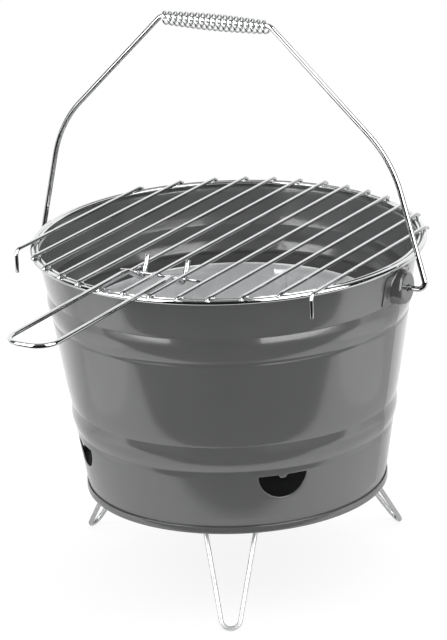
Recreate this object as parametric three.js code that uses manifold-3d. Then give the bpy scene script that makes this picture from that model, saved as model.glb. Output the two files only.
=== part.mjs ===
// Portable tabletop charcoal grill: a tapered sheet bucket on three folding wire legs, with a lift-off
// wire grate, the wire lifter that slides along its bars, a charcoal pan, and a swinging bail with a
// coiled grip. Millimetres, +Z up. The X axis runs through the bail's pivots, and the origin is the
// centre of the bottom panel's flat underside.
import * as THREE from "three";
import { mergeVertices } from "three/addons/utils/BufferGeometryUtils.js";
import Module from "manifold-3d";

const wasm = await Module();
wasm.setup();

// Clearances
const SEAT_GAP = 0.3; // between pieces that rest on or are fixed to each other
const PIVOT_GAP = 0.35; // round a wire that turns in a hole

// Facets
const ROUND_STEPS = 56; // round the bucket, the ring and the pan
const ROLL_STEPS = 8;
const CUP_STEPS = 20; // round an ear's cup
const SMALL_STEPS = 8; // round a rivet or an air hole
const BORE_STEPS = 16; // round a hole that a wire turns in
const VENT_STEPS = 14; // round a vent's half-moon
const CORNER_STEPS = 3; // round a corner of sheet metal
const CURL_STEPS = 4; // round a bar's curled end
const SADDLE_STEPS = 6;
const TIP_STEPS = 8; // round a leg's tip
const WIRE_SIDES = 8;
const BEND_STEP = 24; // degrees of bend per facet of a wire

// Bucket
const RIM_RADIUS = 130; // outside of the rolled rim
const RIM_HEIGHT = 164; // centre of the roll above the underside of the bottom panel
const ROLL_RADIUS = 2.4;
const ROLL_SWEEP = 290; // degrees of curl in the rolled rim
const SHEET = 0.8;
const NECK_STEP = 0.4; // from the wall's outside to the inner side of the roll
const NECK_HEIGHT = 6; // the wall starts to flare this far below the roll's centre
const FOOT_RADIUS = 99.4; // outside of the upright edge that the bottom panel hooks round
const FOOT_FLARE = 0.9; // the wall widens by this up to where its taper starts
const LOW_HEIGHT = 8;
const CHIME_TOP = 2.5;
const CHIME_DEPTH = 3; // the chime stands this far below the panel's underside
const BEND_CUT = 0.3; // bevel at the folds of the chime
const BAND_RISE = 0.9; // the pressed bands stand out by this
const BAND_HEIGHT = 19.5;
const LOWER_BAND_TOP = 62;
const UPPER_BAND_DROP = 25.2; // from the roll's centre to the top of the upper band
const UPPER_SHOULDER = 7; // sloping height at the top of a band
const LOWER_SHOULDER = 3.4;

// Vents
const VENT_ANGLES = [45, 135, -135, -45];
const VENT_DROP = 4.8; // from the lower band to the flat edge
const VENT_RADIUS = 16.1;
const VENT_NUB_WIDTH = 7.4;
const VENT_NUB_TIP = 4;
const VENT_NUB_DROP = 2.8;

// Ears
const PIVOT_DROP = 16.5; // from the roll's centre to the bail's pivots
const EAR_RADIUS = 11.2;
const EAR_DRAFT = 0.5;
const EAR_DEPTH = 7.7; // the cup's face stands this far out of the wall
const EAR_EDGE = 2.6;
const EAR_SHEET = 1;
const FLANGE_WIDTH = 31;
const FLANGE_HEIGHT = 17.2;
const FLANGE_CORNER = 3.5;

// Bail and grip
const BAIL_WIRE = 3.6;
const BAIL_STUB = 2; // the hooked end stops this far from the wall
const BAIL_STAND = 13.4; // from the ear's face to the wire's middle at the pivots, before the bend
const BAIL_LEAN = 21.9; // how far a leg leans in up to where it would meet the shoulder
const BAIL_SHOULDER_HEIGHT = 83.9;
const BAIL_CORNER_ROOM = 0.9; // from the grip's end to where the shoulder would meet the top
const BAIL_HEIGHT = 164; // top of the bail above its pivots
const BAIL_FOOT_BEND = 5;
const BAIL_SHOULDER_BEND = 80;
const BAIL_CORNER_BEND = 6;
const BAIL_BEND_STEP = 9; // degrees, as its bends are long
const GRIP_LENGTH = 74;
const GRIP_CURLS = 19;
const GRIP_WIRE = 1.4;
const GRIP_END_RADIUS = 3.95; // of the wire's centre line
const GRIP_MIDDLE_RADIUS = 5.1;
const GRIP_STEPS = 8; // per curl
const GRIP_SIDES = 5;
const GRIP_LEAST_GAP = 0.4;

// Grate
const GRATE_TURN = 87.44; // degrees from the pivots' axis to the bars
const BAR_WIRE = 2.5;
const BAR_COUNT = 13;
const BAR_EDGE = 13.44; // from the ring's wire to the outermost bar
const BAR_CURL = 60; // degrees that a bar's end bends down round the roll
const RING_WIRE = 2.8;
const RING_PLAY = 0.2; // between the ring and the roll round it
const HOOK_DROP = 15.6;
const HOOK_BEND = 4;
const FRONT_HOOK_RUN = 20; // the two outer bars run on past the roll's middle by this
const BACK_HOOK_RUN = 5.2; // and the middle bar by this

// Lifter
const LIFTER_WIRE = 3.2;
const LIFTER_FURROW = 2.06; // the legs lie this far inside the middles of the two bars under them
const LIFTER_DIP_PLAY = 0.1; // more than the clearance, where the legs pass down between those bars
const LIFTER_REACH = 113.4; // from the roll's middle to the outside of the loop
const LIFTER_CORNER = 13;
const LIFTER_SLOPE = 0.0118; // fall of the legs towards the loop
const LIFTER_DIP_START = 29.6; // inwards from the roll's middle
const LIFTER_TOE = 8; // the legs close in over this length before the dip
const LIFTER_DIP_RUN = 16.5;
const LIFTER_DIP_DROP = 10.3;
const LIFTER_DIP_BEND = 4;
const LIFTER_TIP_RUN = 7.5;
const LIFTER_TIP_RISE = 4; // the turned-up ends stand this far above the legs
const CROSS_WIRE = 2.2;
const CROSS_LENGTH = 60;

// Legs and their brackets
const LEG_ANGLES = [-65, 55, 175];
const LEG_WIRE = 3.1;
const LEG_INSET = 14.4; // from the foot of the wall to the hinge
const LEG_SPLAY = 36.5; // outwards from the hinge to the tip
const LEG_TIP_DROP = 59; // the tip's centre line below the bottom panel
const LEG_WIDTH = 34;
const LEG_TOP_BEND = 4;
const LEG_TIP_BEND = 6.3;
const LEG_BUTT_GAP = 0.6; // between the wire's two ends, inside the bracket
const BRACKET_SHEET = 1;
const STRAP_WIDTH = 16;
const STRAP_IN = 9; // length of the flange towards the centre
const STRAP_OUT = 8.8; // and of the flange away from it
const WING_INSIDE = 24; // between the two stop wings
const WING_WIDTH = 9;
const WING_LENGTH = 6;
const RIVET_SHANK = 1.3;
const RIVET_HEAD = 2.5;
const RIVET_HEAD_HEIGHT = 1.2;
const RIVET_CROWN = 1.5; // radius of the flat on top of a head
const RIVET_SHIFT = 5.8; // from the hinge to each rivet

// Charcoal pan
const PAN_AIR_GAP = 16.3; // from the pan's rim to the outside of the wall round it
const PAN_DROP = 48; // from the roll's centre to the pan's rim
const PAN_DRAFT = 4;
const PAN_FLOOR_HEIGHT = 50;
const PAN_SHEET = 0.8;
const PAN_CORNER = 5;
const PAN_HEM = 4; // height of the folded edge
const PAN_SEAM_ANGLE = 108;
const PAN_SEAM_WIDTH = 6; // degrees
const PAN_HOLE_RADIUS = 4.5;
const PAN_HOLE_PITCH = 30; // between the rings of holes
const PAN_HOLE_GROWTH = 6; // each ring holds this many more holes than the one inside it
const PAN_HOLE_RINGS = 2;
const PAN_FOOT_ANGLES = [-5, 115, 235];
const PAN_FOOT_INSET = 13; // from the floor's edge to the foot
const PAN_FOOT_SHEET = 1.2;
const PAN_FOOT_WIDTH = 14;
const PAN_FOOT_TOE = 9;

// Sizes that follow
const RAD = Math.PI / 180;
const rollCentre = RIM_RADIUS - ROLL_RADIUS;
const wallTopRadius = rollCentre - ROLL_RADIUS - NECK_STEP;
const bandTops = [LOWER_BAND_TOP, RIM_HEIGHT - UPPER_BAND_DROP];
const ventTop = LOWER_BAND_TOP - BAND_HEIGHT - VENT_DROP;
const panelTop = SHEET;
const pivotHeight = RIM_HEIGHT - PIVOT_DROP;
const earFace = wallRadius(pivotHeight) + EAR_DEPTH;
const bailFoot = earFace + BAIL_STAND;
const ringRadius = rollCentre - ROLL_RADIUS - RING_PLAY - RING_WIRE / 2;
const barPitch = (2 * (ringRadius - BAR_EDGE)) / (BAR_COUNT - 1);
const barHeight = RIM_HEIGHT + ROLL_RADIUS + SEAT_GAP + BAR_WIRE / 2;
const ringHeight = barHeight - BAR_WIRE / 2 - SEAT_GAP - RING_WIRE / 2;
const lifterApart = (BAR_WIRE + LIFTER_WIRE) / 2 + SEAT_GAP; // from a leg's middle to a bar's
const crossHeight = barHeight - BAR_WIRE / 2 - SEAT_GAP - CROSS_WIRE / 2;
const gripReach = GRIP_END_RADIUS * Math.cos(Math.PI / GRIP_STEPS) - GRIP_WIRE / 2;
const gripDrop = gripReach - BAIL_WIRE / 2 - SEAT_GAP;
const gripHeight = pivotHeight + BAIL_HEIGHT - gripDrop;
const hingeHeight = -SEAT_GAP - LEG_WIRE / 2;
const hingeRadius = FOOT_RADIUS - LEG_INSET;
const panRimHeight = RIM_HEIGHT - PAN_DROP;
const panRimRadius = wallRadius(panRimHeight) - PAN_AIR_GAP;
const panFloorRadius = panRimRadius - PAN_DRAFT;

// Outside radius of the plain wall at a height
function wallRadius(height) {
  const share = (height - LOW_HEIGHT) / (RIM_HEIGHT - LOW_HEIGHT);
  const lowRadius = FOOT_RADIUS + FOOT_FLARE;
  return lowRadius + share * (wallTopRadius - lowRadius);
}

function vec(x, y, z) {
  return new THREE.Vector3(x, y, z);
}

function flat(x, y) {
  return new THREE.Vector2(x, y);
}

// Points of an arc round a centre, from one angle in degrees to another
function arc(centre, radius, from, to, steps) {
  const points = [];
  for (let i = 0; i <= steps; i++) {
    const angle = (from + ((to - from) * i) / steps) * RAD;
    points.push(flat(centre.x + radius * Math.cos(angle), centre.y + radius * Math.sin(angle)));
  }
  return points;
}

// A solid that can be cut and joined, from a closed geometry
function solid(geometry) {
  const bare = geometry.clone();
  bare.deleteAttribute("normal");
  bare.deleteAttribute("uv");
  const merged = mergeVertices(bare, 1e-4);
  const mesh = new wasm.Mesh({
    numProp: 3,
    vertProperties: merged.attributes.position.array,
    triVerts: new Uint32Array(merged.index.array),
  });
  return new wasm.Manifold(mesh);
}

function geometryOf(body) {
  const mesh = body.getMesh();
  const geometry = new THREE.BufferGeometry();
  geometry.setAttribute("position", new THREE.BufferAttribute(mesh.vertProperties, 3));
  geometry.setIndex(new THREE.BufferAttribute(mesh.triVerts, 1));
  geometry.computeVertexNormals();
  return geometry;
}

// The two faces of a bent sheet, as one outline round its middle line. A line that starts on the axis
// stays open there.
function sheetOutline(line, thickness) {
  const left = [];
  const right = [];
  line.forEach((point, i) => {
    const before = line[Math.max(i - 1, 0)];
    const after = line[Math.min(i + 1, line.length - 1)];
    const into = (i > 0 ? point.clone().sub(before) : after.clone().sub(point)).normalize();
    const out = (i < line.length - 1 ? after.clone().sub(point) : into.clone()).normalize();
    const mitre = into.clone().add(out).normalize();
    const reach = thickness / 2 / mitre.dot(into);
    const normal = flat(-mitre.y, mitre.x).multiplyScalar(reach);
    left.push(point.clone().add(normal));
    right.push(point.clone().sub(normal));
  });
  if (line[0].x === 0) {
    left[0].x = 0;
    right[0].x = 0;
    return [...right, ...left.reverse()];
  }
  return [...right, ...left.reverse(), right[0].clone()];
}

// Revolves an outline of radius and height about the Z axis
function revolved(outline, steps = ROUND_STEPS) {
  return new THREE.LatheGeometry(outline, steps).rotateX(Math.PI / 2);
}

// Extrudes an outline that is drawn in radius and height, to both sides of the radial plane
function plateAcross(outline, width) {
  const settings = { depth: width, bevelEnabled: false };
  const plate = new THREE.ExtrudeGeometry(new THREE.Shape(outline), settings);
  return plate.translate(0, 0, -width / 2).rotateX(Math.PI / 2);
}

function rodAlongZ(radius, low, high, sides = SMALL_STEPS) {
  const rod = new THREE.CylinderGeometry(radius, radius, high - low, sides);
  return rod.rotateX(Math.PI / 2).translate(0, 0, (low + high) / 2);
}

// A wire's middle line: straight runs between corners, each corner rounded with its own bend radius
function wireRoute(corners, bendStep = BEND_STEP) {
  const points = [];
  corners.forEach(({ at, bend = 0 }, i) => {
    if (!bend) {
      points.push(at.clone());
      return;
    }
    const into = at.clone().sub(corners[i - 1].at).normalize();
    const out = corners[i + 1].at.clone().sub(at).normalize();
    const turn = into.angleTo(out);
    const inward = out.clone().sub(into).normalize();
    const centre = at.clone().addScaledVector(inward, bend / Math.cos(turn / 2));
    const axis = into.clone().cross(out).normalize();
    const start = at.clone().addScaledVector(into, -bend * Math.tan(turn / 2)).sub(centre);
    const steps = Math.max(2, Math.ceil(turn / (bendStep * RAD)));
    for (let k = 0; k <= steps; k++) {
      points.push(start.clone().applyAxisAngle(axis, (turn * k) / steps).add(centre));
    }
  });
  return points;
}

// A path whose steps are the points of a wire's route, so that straight runs take one step
class WirePath extends THREE.Curve {
  constructor(points) {
    super();
    this.points = points;
  }
  index(share) {
    return Math.round(share * (this.points.length - 1));
  }
  getPointAt(share) {
    return this.points[this.index(share)].clone();
  }
  getTangentAt(share) {
    const i = this.index(share);
    const last = this.points.length - 1;
    const here = this.points[i];
    const into = here.clone().sub(this.points[Math.max(i - 1, 0)]).normalize();
    const out = this.points[Math.min(i + 1, last)].clone().sub(here).normalize();
    return into.add(out).normalize();
  }
}

// A round wire along the points
function wireAlong(points, diameter, sides = WIRE_SIDES) {
  const section = new THREE.Shape(arc(flat(0, 0), diameter / 2, 0, 360 - 360 / sides, sides - 1));
  const settings = { steps: points.length - 1, extrudePath: new WirePath(points) };
  return new THREE.ExtrudeGeometry(section, settings);
}

const materials = {
  paint: { color: 0x6d6f70, roughness: 0.34, metalness: 0.35 },
  chrome: { color: 0xd6d8da, roughness: 0.14, metalness: 1 },
  plated: { color: 0xb4b7b8, roughness: 0.32, metalness: 0.9 },
  zinc: { color: 0xc4c6c8, roughness: 0.3, metalness: 0.9 },
};

function piece(parent, name, finish, geometry) {
  const mesh = new THREE.Mesh(geometry, new THREE.MeshStandardMaterial(materials[finish]));
  mesh.name = name;
  parent.add(mesh);
  return mesh;
}

// Bucket

// Middle line of the wall's sheet, from its foot up over the bands and round the rolled rim
function wallLine() {
  const half = SHEET / 2;
  const onWall = (height, rise) => flat(wallRadius(height) + rise - half, height);
  const footLow = -CHIME_DEPTH + SHEET + SEAT_GAP;
  const line = [flat(FOOT_RADIUS - half, footLow), flat(FOOT_RADIUS - half, CHIME_TOP + half)];
  line.push(onWall(LOW_HEIGHT, 0));
  for (const top of bandTops) {
    const low = top - BAND_HEIGHT;
    line.push(onWall(low, 0), onWall(low + LOWER_SHOULDER, BAND_RISE));
    line.push(onWall(top - UPPER_SHOULDER, BAND_RISE), onWall(top, 0));
  }
  line.push(onWall(RIM_HEIGHT - NECK_HEIGHT, 0));
  line.push(...arc(flat(rollCentre, RIM_HEIGHT), ROLL_RADIUS - half, 180, 180 - ROLL_SWEEP, ROLL_STEPS));
  return line;
}

// Half-moon with a nub at the middle of its flat edge, as a punch through the wall at an angle
function ventPunch(angle) {
  const outline = new THREE.Shape();
  outline.moveTo(-VENT_RADIUS, 0);
  outline.lineTo(-VENT_NUB_WIDTH / 2, 0);
  outline.lineTo(-VENT_NUB_TIP / 2, -VENT_NUB_DROP);
  outline.lineTo(VENT_NUB_TIP / 2, -VENT_NUB_DROP);
  outline.lineTo(VENT_NUB_WIDTH / 2, 0);
  outline.lineTo(VENT_RADIUS, 0);
  outline.absarc(0, 0, VENT_RADIUS, 0, -Math.PI, true);
  const depth = VENT_RADIUS;
  const punch = new THREE.ExtrudeGeometry(outline, { depth, bevelEnabled: false, curveSegments: VENT_STEPS });
  const outward = vec(Math.cos(angle * RAD), Math.sin(angle * RAD), 0);
  const up = vec(0, 0, 1);
  const across = up.clone().cross(outward);
  const place = new THREE.Matrix4().makeBasis(across, up, outward);
  const start = wallRadius(ventTop) - depth / 2;
  place.setPosition(outward.clone().multiplyScalar(start).setZ(ventTop));
  return solid(punch.applyMatrix4(place));
}

function bucketWall() {
  const wall = solid(revolved(sheetOutline(wallLine(), SHEET)));
  return geometryOf(VENT_ANGLES.reduce((body, angle) => body.subtract(ventPunch(angle)), wall));
}

// Where the rivets of the three brackets stand
function rivetPlaces() {
  return LEG_ANGLES.flatMap((angle, i) =>
    [-RIVET_SHIFT, RIVET_SHIFT].map((shift, k) => ({
      name: `bracket_rivet_${i + 1}_${k ? "outer" : "inner"}`,
      x: (hingeRadius + shift) * Math.cos(angle * RAD),
      y: (hingeRadius + shift) * Math.sin(angle * RAD),
    })),
  );
}

// Flat panel whose edge goes down inside the wall, round its foot and up outside it
function bucketBottom() {
  const half = SHEET / 2;
  const inner = FOOT_RADIUS - SHEET - SEAT_GAP - half;
  const outer = FOOT_RADIUS + SEAT_GAP + half;
  const low = -CHIME_DEPTH + half;
  const line = [
    flat(0, half),
    flat(inner - SHEET, half),
    flat(inner, half - SHEET),
    flat(inner, low + BEND_CUT),
    flat(inner + BEND_CUT, low),
    flat(outer - BEND_CUT, low),
    flat(outer, low + BEND_CUT),
    flat(outer, CHIME_TOP),
  ];
  let body = solid(revolved(sheetOutline(line, SHEET)));
  for (const { x, y } of rivetPlaces()) {
    const hole = rodAlongZ(RIVET_SHANK + SEAT_GAP, -SHEET, 2 * SHEET).translate(x, y, 0);
    body = body.subtract(solid(hole));
  }
  return geometryOf(body);
}

// Solid of revolution round the X axis, from an outline of distance along X and radius
function turnedOnX(outline) {
  const points = outline.map((p) => flat(p.y, p.x));
  return new THREE.LatheGeometry(points, CUP_STEPS).rotateZ(-Math.PI / 2);
}

function earCupOutline(inset) {
  const back = earFace - 2 * EAR_DEPTH;
  const face = earFace - inset;
  const radius = EAR_RADIUS - inset;
  const edge = EAR_EDGE - inset;
  const corner = arc(flat(face - edge, radius - edge), edge, 90, 0, CORNER_STEPS);
  return [flat(back, 0), flat(back, radius + EAR_DRAFT), ...corner, flat(face, 0)];
}

// Pressed cup with a flange that follows the wall, on the +X side
function ear() {
  const bandTop = Math.max(...bandTops);
  const bottom = bandTop - UPPER_SHOULDER - EAR_RADIUS;
  const neck = RIM_HEIGHT - NECK_HEIGHT;
  const underRoll = RIM_HEIGHT - ROLL_RADIUS - SEAT_GAP;
  const top = RIM_HEIGHT + EAR_RADIUS;
  const coneOutline = (gap) => [
    flat(0, bottom),
    flat(wallRadius(bottom) + BAND_RISE + gap, bottom),
    flat(wallRadius(bandTop - UPPER_SHOULDER) + BAND_RISE + gap, bandTop - UPPER_SHOULDER),
    flat(wallRadius(bandTop) + gap, bandTop),
    flat(wallRadius(neck) + gap, neck),
    flat(rollCentre - ROLL_RADIUS + gap, underRoll),
    flat(RIM_RADIUS + gap, underRoll),
    flat(RIM_RADIUS + gap, top),
    flat(0, top),
  ];
  const wallSpace = solid(revolved(coneOutline(SEAT_GAP)));
  const flangeSpace = solid(revolved(coneOutline(SEAT_GAP + EAR_SHEET)));
  const w = FLANGE_WIDTH / 2 - FLANGE_CORNER;
  const h = FLANGE_HEIGHT / 2 - FLANGE_CORNER;
  const corners = [[w, h, 0], [-w, h, 90], [-w, -h, 180], [w, -h, 270]];
  const round = ([x, y, turn]) => arc(flat(x, y), FLANGE_CORNER, turn, turn + 90, CORNER_STEPS);
  const plate = corners.flatMap(round);
  const settings = { depth: 2 * EAR_DEPTH, bevelEnabled: false };
  const block = new THREE.ExtrudeGeometry(new THREE.Shape(plate), settings);
  block.rotateX(Math.PI / 2).rotateZ(Math.PI / 2).translate(earFace - 2 * EAR_DEPTH, 0, pivotHeight);
  const flange = solid(block).intersect(flangeSpace);
  const place = (outline) => solid(turnedOnX(outline).translate(0, 0, pivotHeight));
  const hole = rodAlongZ(BAIL_WIRE / 2 + PIVOT_GAP, -2 * EAR_DEPTH, EAR_DEPTH, BORE_STEPS);
  hole.rotateY(Math.PI / 2).translate(earFace, 0, pivotHeight);
  const pressed = flange.add(place(earCupOutline(0))).subtract(place(earCupOutline(EAR_SHEET)));
  return geometryOf(pressed.subtract(wallSpace).subtract(solid(hole)));
}

// Bail and grip

function bailRoute() {
  const stub = wallRadius(pivotHeight) + BAIL_STUB;
  const side = (sign) => [
    { at: vec(sign * stub, 0, 0) },
    { at: vec(sign * bailFoot, 0, 0), bend: BAIL_FOOT_BEND },
    { at: vec(sign * (bailFoot - BAIL_LEAN), 0, BAIL_SHOULDER_HEIGHT), bend: BAIL_SHOULDER_BEND },
    { at: vec(sign * (GRIP_LENGTH / 2 + BAIL_CORNER_ROOM), 0, BAIL_HEIGHT), bend: BAIL_CORNER_BEND },
  ];
  return [...side(-1), ...side(1).reverse()];
}

function bailWire() {
  const points = wireRoute(bailRoute(), BAIL_BEND_STEP);
  return wireAlong(points, BAIL_WIRE).translate(0, 0, pivotHeight);
}

// Barrel-shaped helix along X, with a straight run of one wire diameter at each end
function gripPoints() {
  const steps = GRIP_CURLS * GRIP_STEPS;
  const points = [];
  for (let i = 0; i <= steps; i++) {
    const share = i / steps;
    const radius = GRIP_END_RADIUS + (GRIP_MIDDLE_RADIUS - GRIP_END_RADIUS) * Math.sin(Math.PI * share);
    const angle = (2 * Math.PI * i) / GRIP_STEPS;
    const x = (share - 0.5) * (GRIP_LENGTH - GRIP_WIRE);
    points.push(vec(x, radius * Math.cos(angle), radius * Math.sin(angle)));
  }
  const run = (from, towards) => from.clone().add(from.clone().sub(towards).setLength(GRIP_WIRE));
  const first = run(points[0], points[1]);
  const last = run(points[steps], points[steps - 1]);
  return [first, ...points, last];
}

// Least distance between the coil's surface and itself, one curl on or more
function gripGap(points) {
  let least = Infinity;
  for (let i = 0; i < points.length; i++) {
    for (let k = i + GRIP_STEPS / 2; k < points.length; k++) {
      least = Math.min(least, points[i].distanceTo(points[k]) - GRIP_WIRE);
    }
  }
  return least;
}

function gripCoil() {
  const points = gripPoints();
  const gap = gripGap(points);
  console.log(`grip coil: least gap to itself ${gap.toFixed(2)} mm, wanted over ${GRIP_LEAST_GAP}`);
  return wireAlong(points, GRIP_WIRE, GRIP_SIDES).translate(0, 0, gripHeight);
}

// Grate, in its own turned frame: X along the bars towards the back, Y across them

// How far from the middle a bar at this offset crosses the top of the roll
function rollCrossing(offset) {
  return Math.sqrt(rollCentre ** 2 - offset ** 2);
}

// One end of a bar, bent down round the roll
function curledEnd(offset, side) {
  const crossing = rollCrossing(offset);
  const stretch = rollCentre / crossing;
  const reach = ROLL_RADIUS + SEAT_GAP + BAR_WIRE / 2;
  const round = arc(flat(0, 0), reach, 90, 90 - BAR_CURL, CURL_STEPS);
  return round.map((p) => vec(side * (crossing + p.x * stretch), offset, RIM_HEIGHT + p.y));
}

// One end of a bar that runs on past the rim and turns down
function hookedEnd(offset, side, run) {
  const length = rollCrossing(offset) + run;
  const corners = [
    { at: vec(0, offset, barHeight) },
    { at: vec(side * length, offset, barHeight), bend: HOOK_BEND },
    { at: vec(side * length, offset, barHeight - HOOK_DROP) },
  ];
  return wireRoute(corners).slice(1);
}

function grateBar(index) {
  const middle = (BAR_COUNT + 1) / 2;
  const offset = (middle - index) * barPitch;
  const outermost = index === 1 || index === BAR_COUNT;
  const front = outermost ? hookedEnd(offset, -1, FRONT_HOOK_RUN) : curledEnd(offset, -1);
  const back = index === middle ? hookedEnd(offset, 1, BACK_HOOK_RUN) : curledEnd(offset, 1);
  return wireAlong([...front.reverse(), ...back], BAR_WIRE);
}

function grateRing() {
  const ring = new THREE.TorusGeometry(ringRadius, RING_WIRE / 2, WIRE_SIDES, ROUND_STEPS);
  return ring.translate(0, 0, ringHeight);
}

// Lifter, in the grate's frame

// Height of the legs, which lie in the furrows over two bars and touch them where the bars end
function lifterHeight(along) {
  const rise = Math.sqrt(lifterApart ** 2 - LIFTER_FURROW ** 2);
  return barHeight + rise + LIFTER_SLOPE * (along + rollCrossing(barPitch));
}

// Corners of one leg in the plane along it: down between the bars and up to the turned-up end
function lifterDip() {
  const dipStart = LIFTER_DIP_START - rollCentre;
  const start = flat(dipStart, lifterHeight(dipStart));
  const low = flat(start.x + LIFTER_DIP_RUN, start.y - LIFTER_DIP_DROP);
  const tip = flat(low.x + LIFTER_TIP_RUN, start.y + LIFTER_TIP_RISE);
  return { start, low, tip };
}

function lifterWire() {
  const { start, low, tip } = lifterDip();
  const rest = barPitch - LIFTER_FURROW;
  const dip = barPitch - lifterApart - LIFTER_DIP_PLAY;
  const toe = start.x - LIFTER_TOE;
  const end = LIFTER_WIRE / 2 - LIFTER_REACH - rollCentre;
  const side = (sign) => [
    { at: vec(tip.x, sign * dip, tip.y) },
    { at: vec(low.x, sign * dip, low.y), bend: LIFTER_DIP_BEND },
    { at: vec(start.x, sign * dip, start.y), bend: LIFTER_DIP_BEND },
    { at: vec(toe, sign * rest, lifterHeight(toe)) },
    { at: vec(end, sign * rest, lifterHeight(end)), bend: LIFTER_CORNER },
  ];
  return wireAlong(wireRoute([...side(1), ...side(-1).reverse()]), LIFTER_WIRE);
}

// Cross wire under the bars, in the crook of the lifter's dip
function lifterCross() {
  const { start, low } = lifterDip();
  const down = low.clone().sub(start).normalize();
  const apart = (LIFTER_WIRE + CROSS_WIRE) / 2 + SEAT_GAP;
  const drop = crossHeight - start.y;
  const along = start.x + (down.x * drop - apart) / down.y;
  const rod = new THREE.CylinderGeometry(CROSS_WIRE / 2, CROSS_WIRE / 2, CROSS_LENGTH, WIRE_SIDES);
  return rod.translate(along, 0, crossHeight);
}

// Legs, each in a frame with X outward and Y along its hinge

function legWire() {
  const reach = vec(LEG_SPLAY, 0, -LEG_TIP_DROP - hingeHeight);
  const along = reach.clone().normalize();
  const half = LEG_WIDTH / 2;
  const centre = flat(reach.length() - LEG_TIP_BEND, 0);
  const away = Math.hypot(centre.x, half);
  const touch = (Math.atan2(half, -centre.x) - Math.acos(LEG_TIP_BEND / away)) / RAD;
  const hinge = vec(hingeRadius, 0, hingeHeight);
  const inPlane = (p) => ({ at: hinge.clone().addScaledVector(along, p.x).setY(p.y) });
  const tip = arc(centre, LEG_TIP_BEND, touch, -touch, TIP_STEPS).map(inPlane);
  const corner = (side) => ({ ...inPlane(flat(0, side * half)), bend: LEG_TOP_BEND });
  const butt = (side) => inPlane(flat(0, (side * LEG_BUTT_GAP) / 2));
  return wireAlong(wireRoute([butt(1), corner(1), ...tip, corner(-1), butt(-1)]), LEG_WIRE);
}

// Saddle over the leg's hinge wire, with two wings that stop the open leg
function legBracket() {
  const half = BRACKET_SHEET / 2;
  const level = -SEAT_GAP - half;
  const bore = LEG_WIRE / 2 + SEAT_GAP + half;
  const hinge = flat(hingeRadius, hingeHeight);
  const saddle = [
    flat(hinge.x - STRAP_IN, level),
    flat(hinge.x - bore - half, level),
    ...arc(hinge, bore, 180, 360, SADDLE_STEPS),
    flat(hinge.x + bore + half, level),
    flat(hinge.x + STRAP_OUT, level),
  ];
  const reach = flat(LEG_SPLAY, -LEG_TIP_DROP - hingeHeight).normalize();
  const beside = hinge.clone().add(flat(-reach.y, reach.x).multiplyScalar(bore));
  const meet = beside.clone().addScaledVector(reach, (level - beside.y) / reach.y);
  const wing = [
    flat(hinge.x + STRAP_OUT, level),
    meet,
    beside.clone().addScaledVector(reach, WING_LENGTH),
  ];
  const wingShift = (WING_INSIDE + WING_WIDTH) / 2;
  const bar = [flat(hinge.x + STRAP_OUT, level), flat(meet.x + BRACKET_SHEET, level)];
  let body = solid(plateAcross(sheetOutline(saddle, BRACKET_SHEET), STRAP_WIDTH));
  body = body.add(solid(plateAcross(sheetOutline(bar, BRACKET_SHEET), WING_INSIDE + WING_WIDTH)));
  for (const side of [-1, 1]) {
    const tab = plateAcross(sheetOutline(wing, BRACKET_SHEET), WING_WIDTH);
    body = body.add(solid(tab.translate(0, side * wingShift, 0)));
  }
  for (const shift of [-RIVET_SHIFT, RIVET_SHIFT]) {
    const hole = rodAlongZ(RIVET_SHANK + SEAT_GAP, -2 * bore, 0).translate(hinge.x + shift, 0, 0);
    body = body.subtract(solid(hole));
  }
  return geometryOf(body);
}

// Headed on both sides, through a bracket's flange and the bottom panel
function bracketRivet() {
  const low = -2 * SEAT_GAP - BRACKET_SHEET;
  const high = panelTop + SEAT_GAP;
  const rim = RIVET_HEAD_HEIGHT / 3;
  const outline = [
    flat(0, low - RIVET_HEAD_HEIGHT),
    flat(RIVET_CROWN, low - RIVET_HEAD_HEIGHT),
    flat(RIVET_HEAD, low - rim),
    flat(RIVET_HEAD, low),
    flat(RIVET_SHANK, low),
    flat(RIVET_SHANK, high),
    flat(RIVET_HEAD, high),
    flat(RIVET_HEAD, high + rim),
    flat(RIVET_CROWN, high + RIVET_HEAD_HEIGHT),
    flat(0, high + RIVET_HEAD_HEIGHT),
  ];
  return revolved(outline, SMALL_STEPS);
}

// Charcoal pan

function panRadius(height) {
  const share = (height - PAN_FLOOR_HEIGHT) / (panRimHeight - PAN_FLOOR_HEIGHT);
  return panFloorRadius + share * (panRimRadius - panFloorRadius);
}

function panHoles() {
  const places = [flat(0, 0)];
  for (let ring = 1; ring <= PAN_HOLE_RINGS; ring++) {
    places.push(...arc(flat(0, 0), ring * PAN_HOLE_PITCH, 0, 360, PAN_HOLE_GROWTH * ring).slice(1));
  }
  return places;
}

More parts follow.
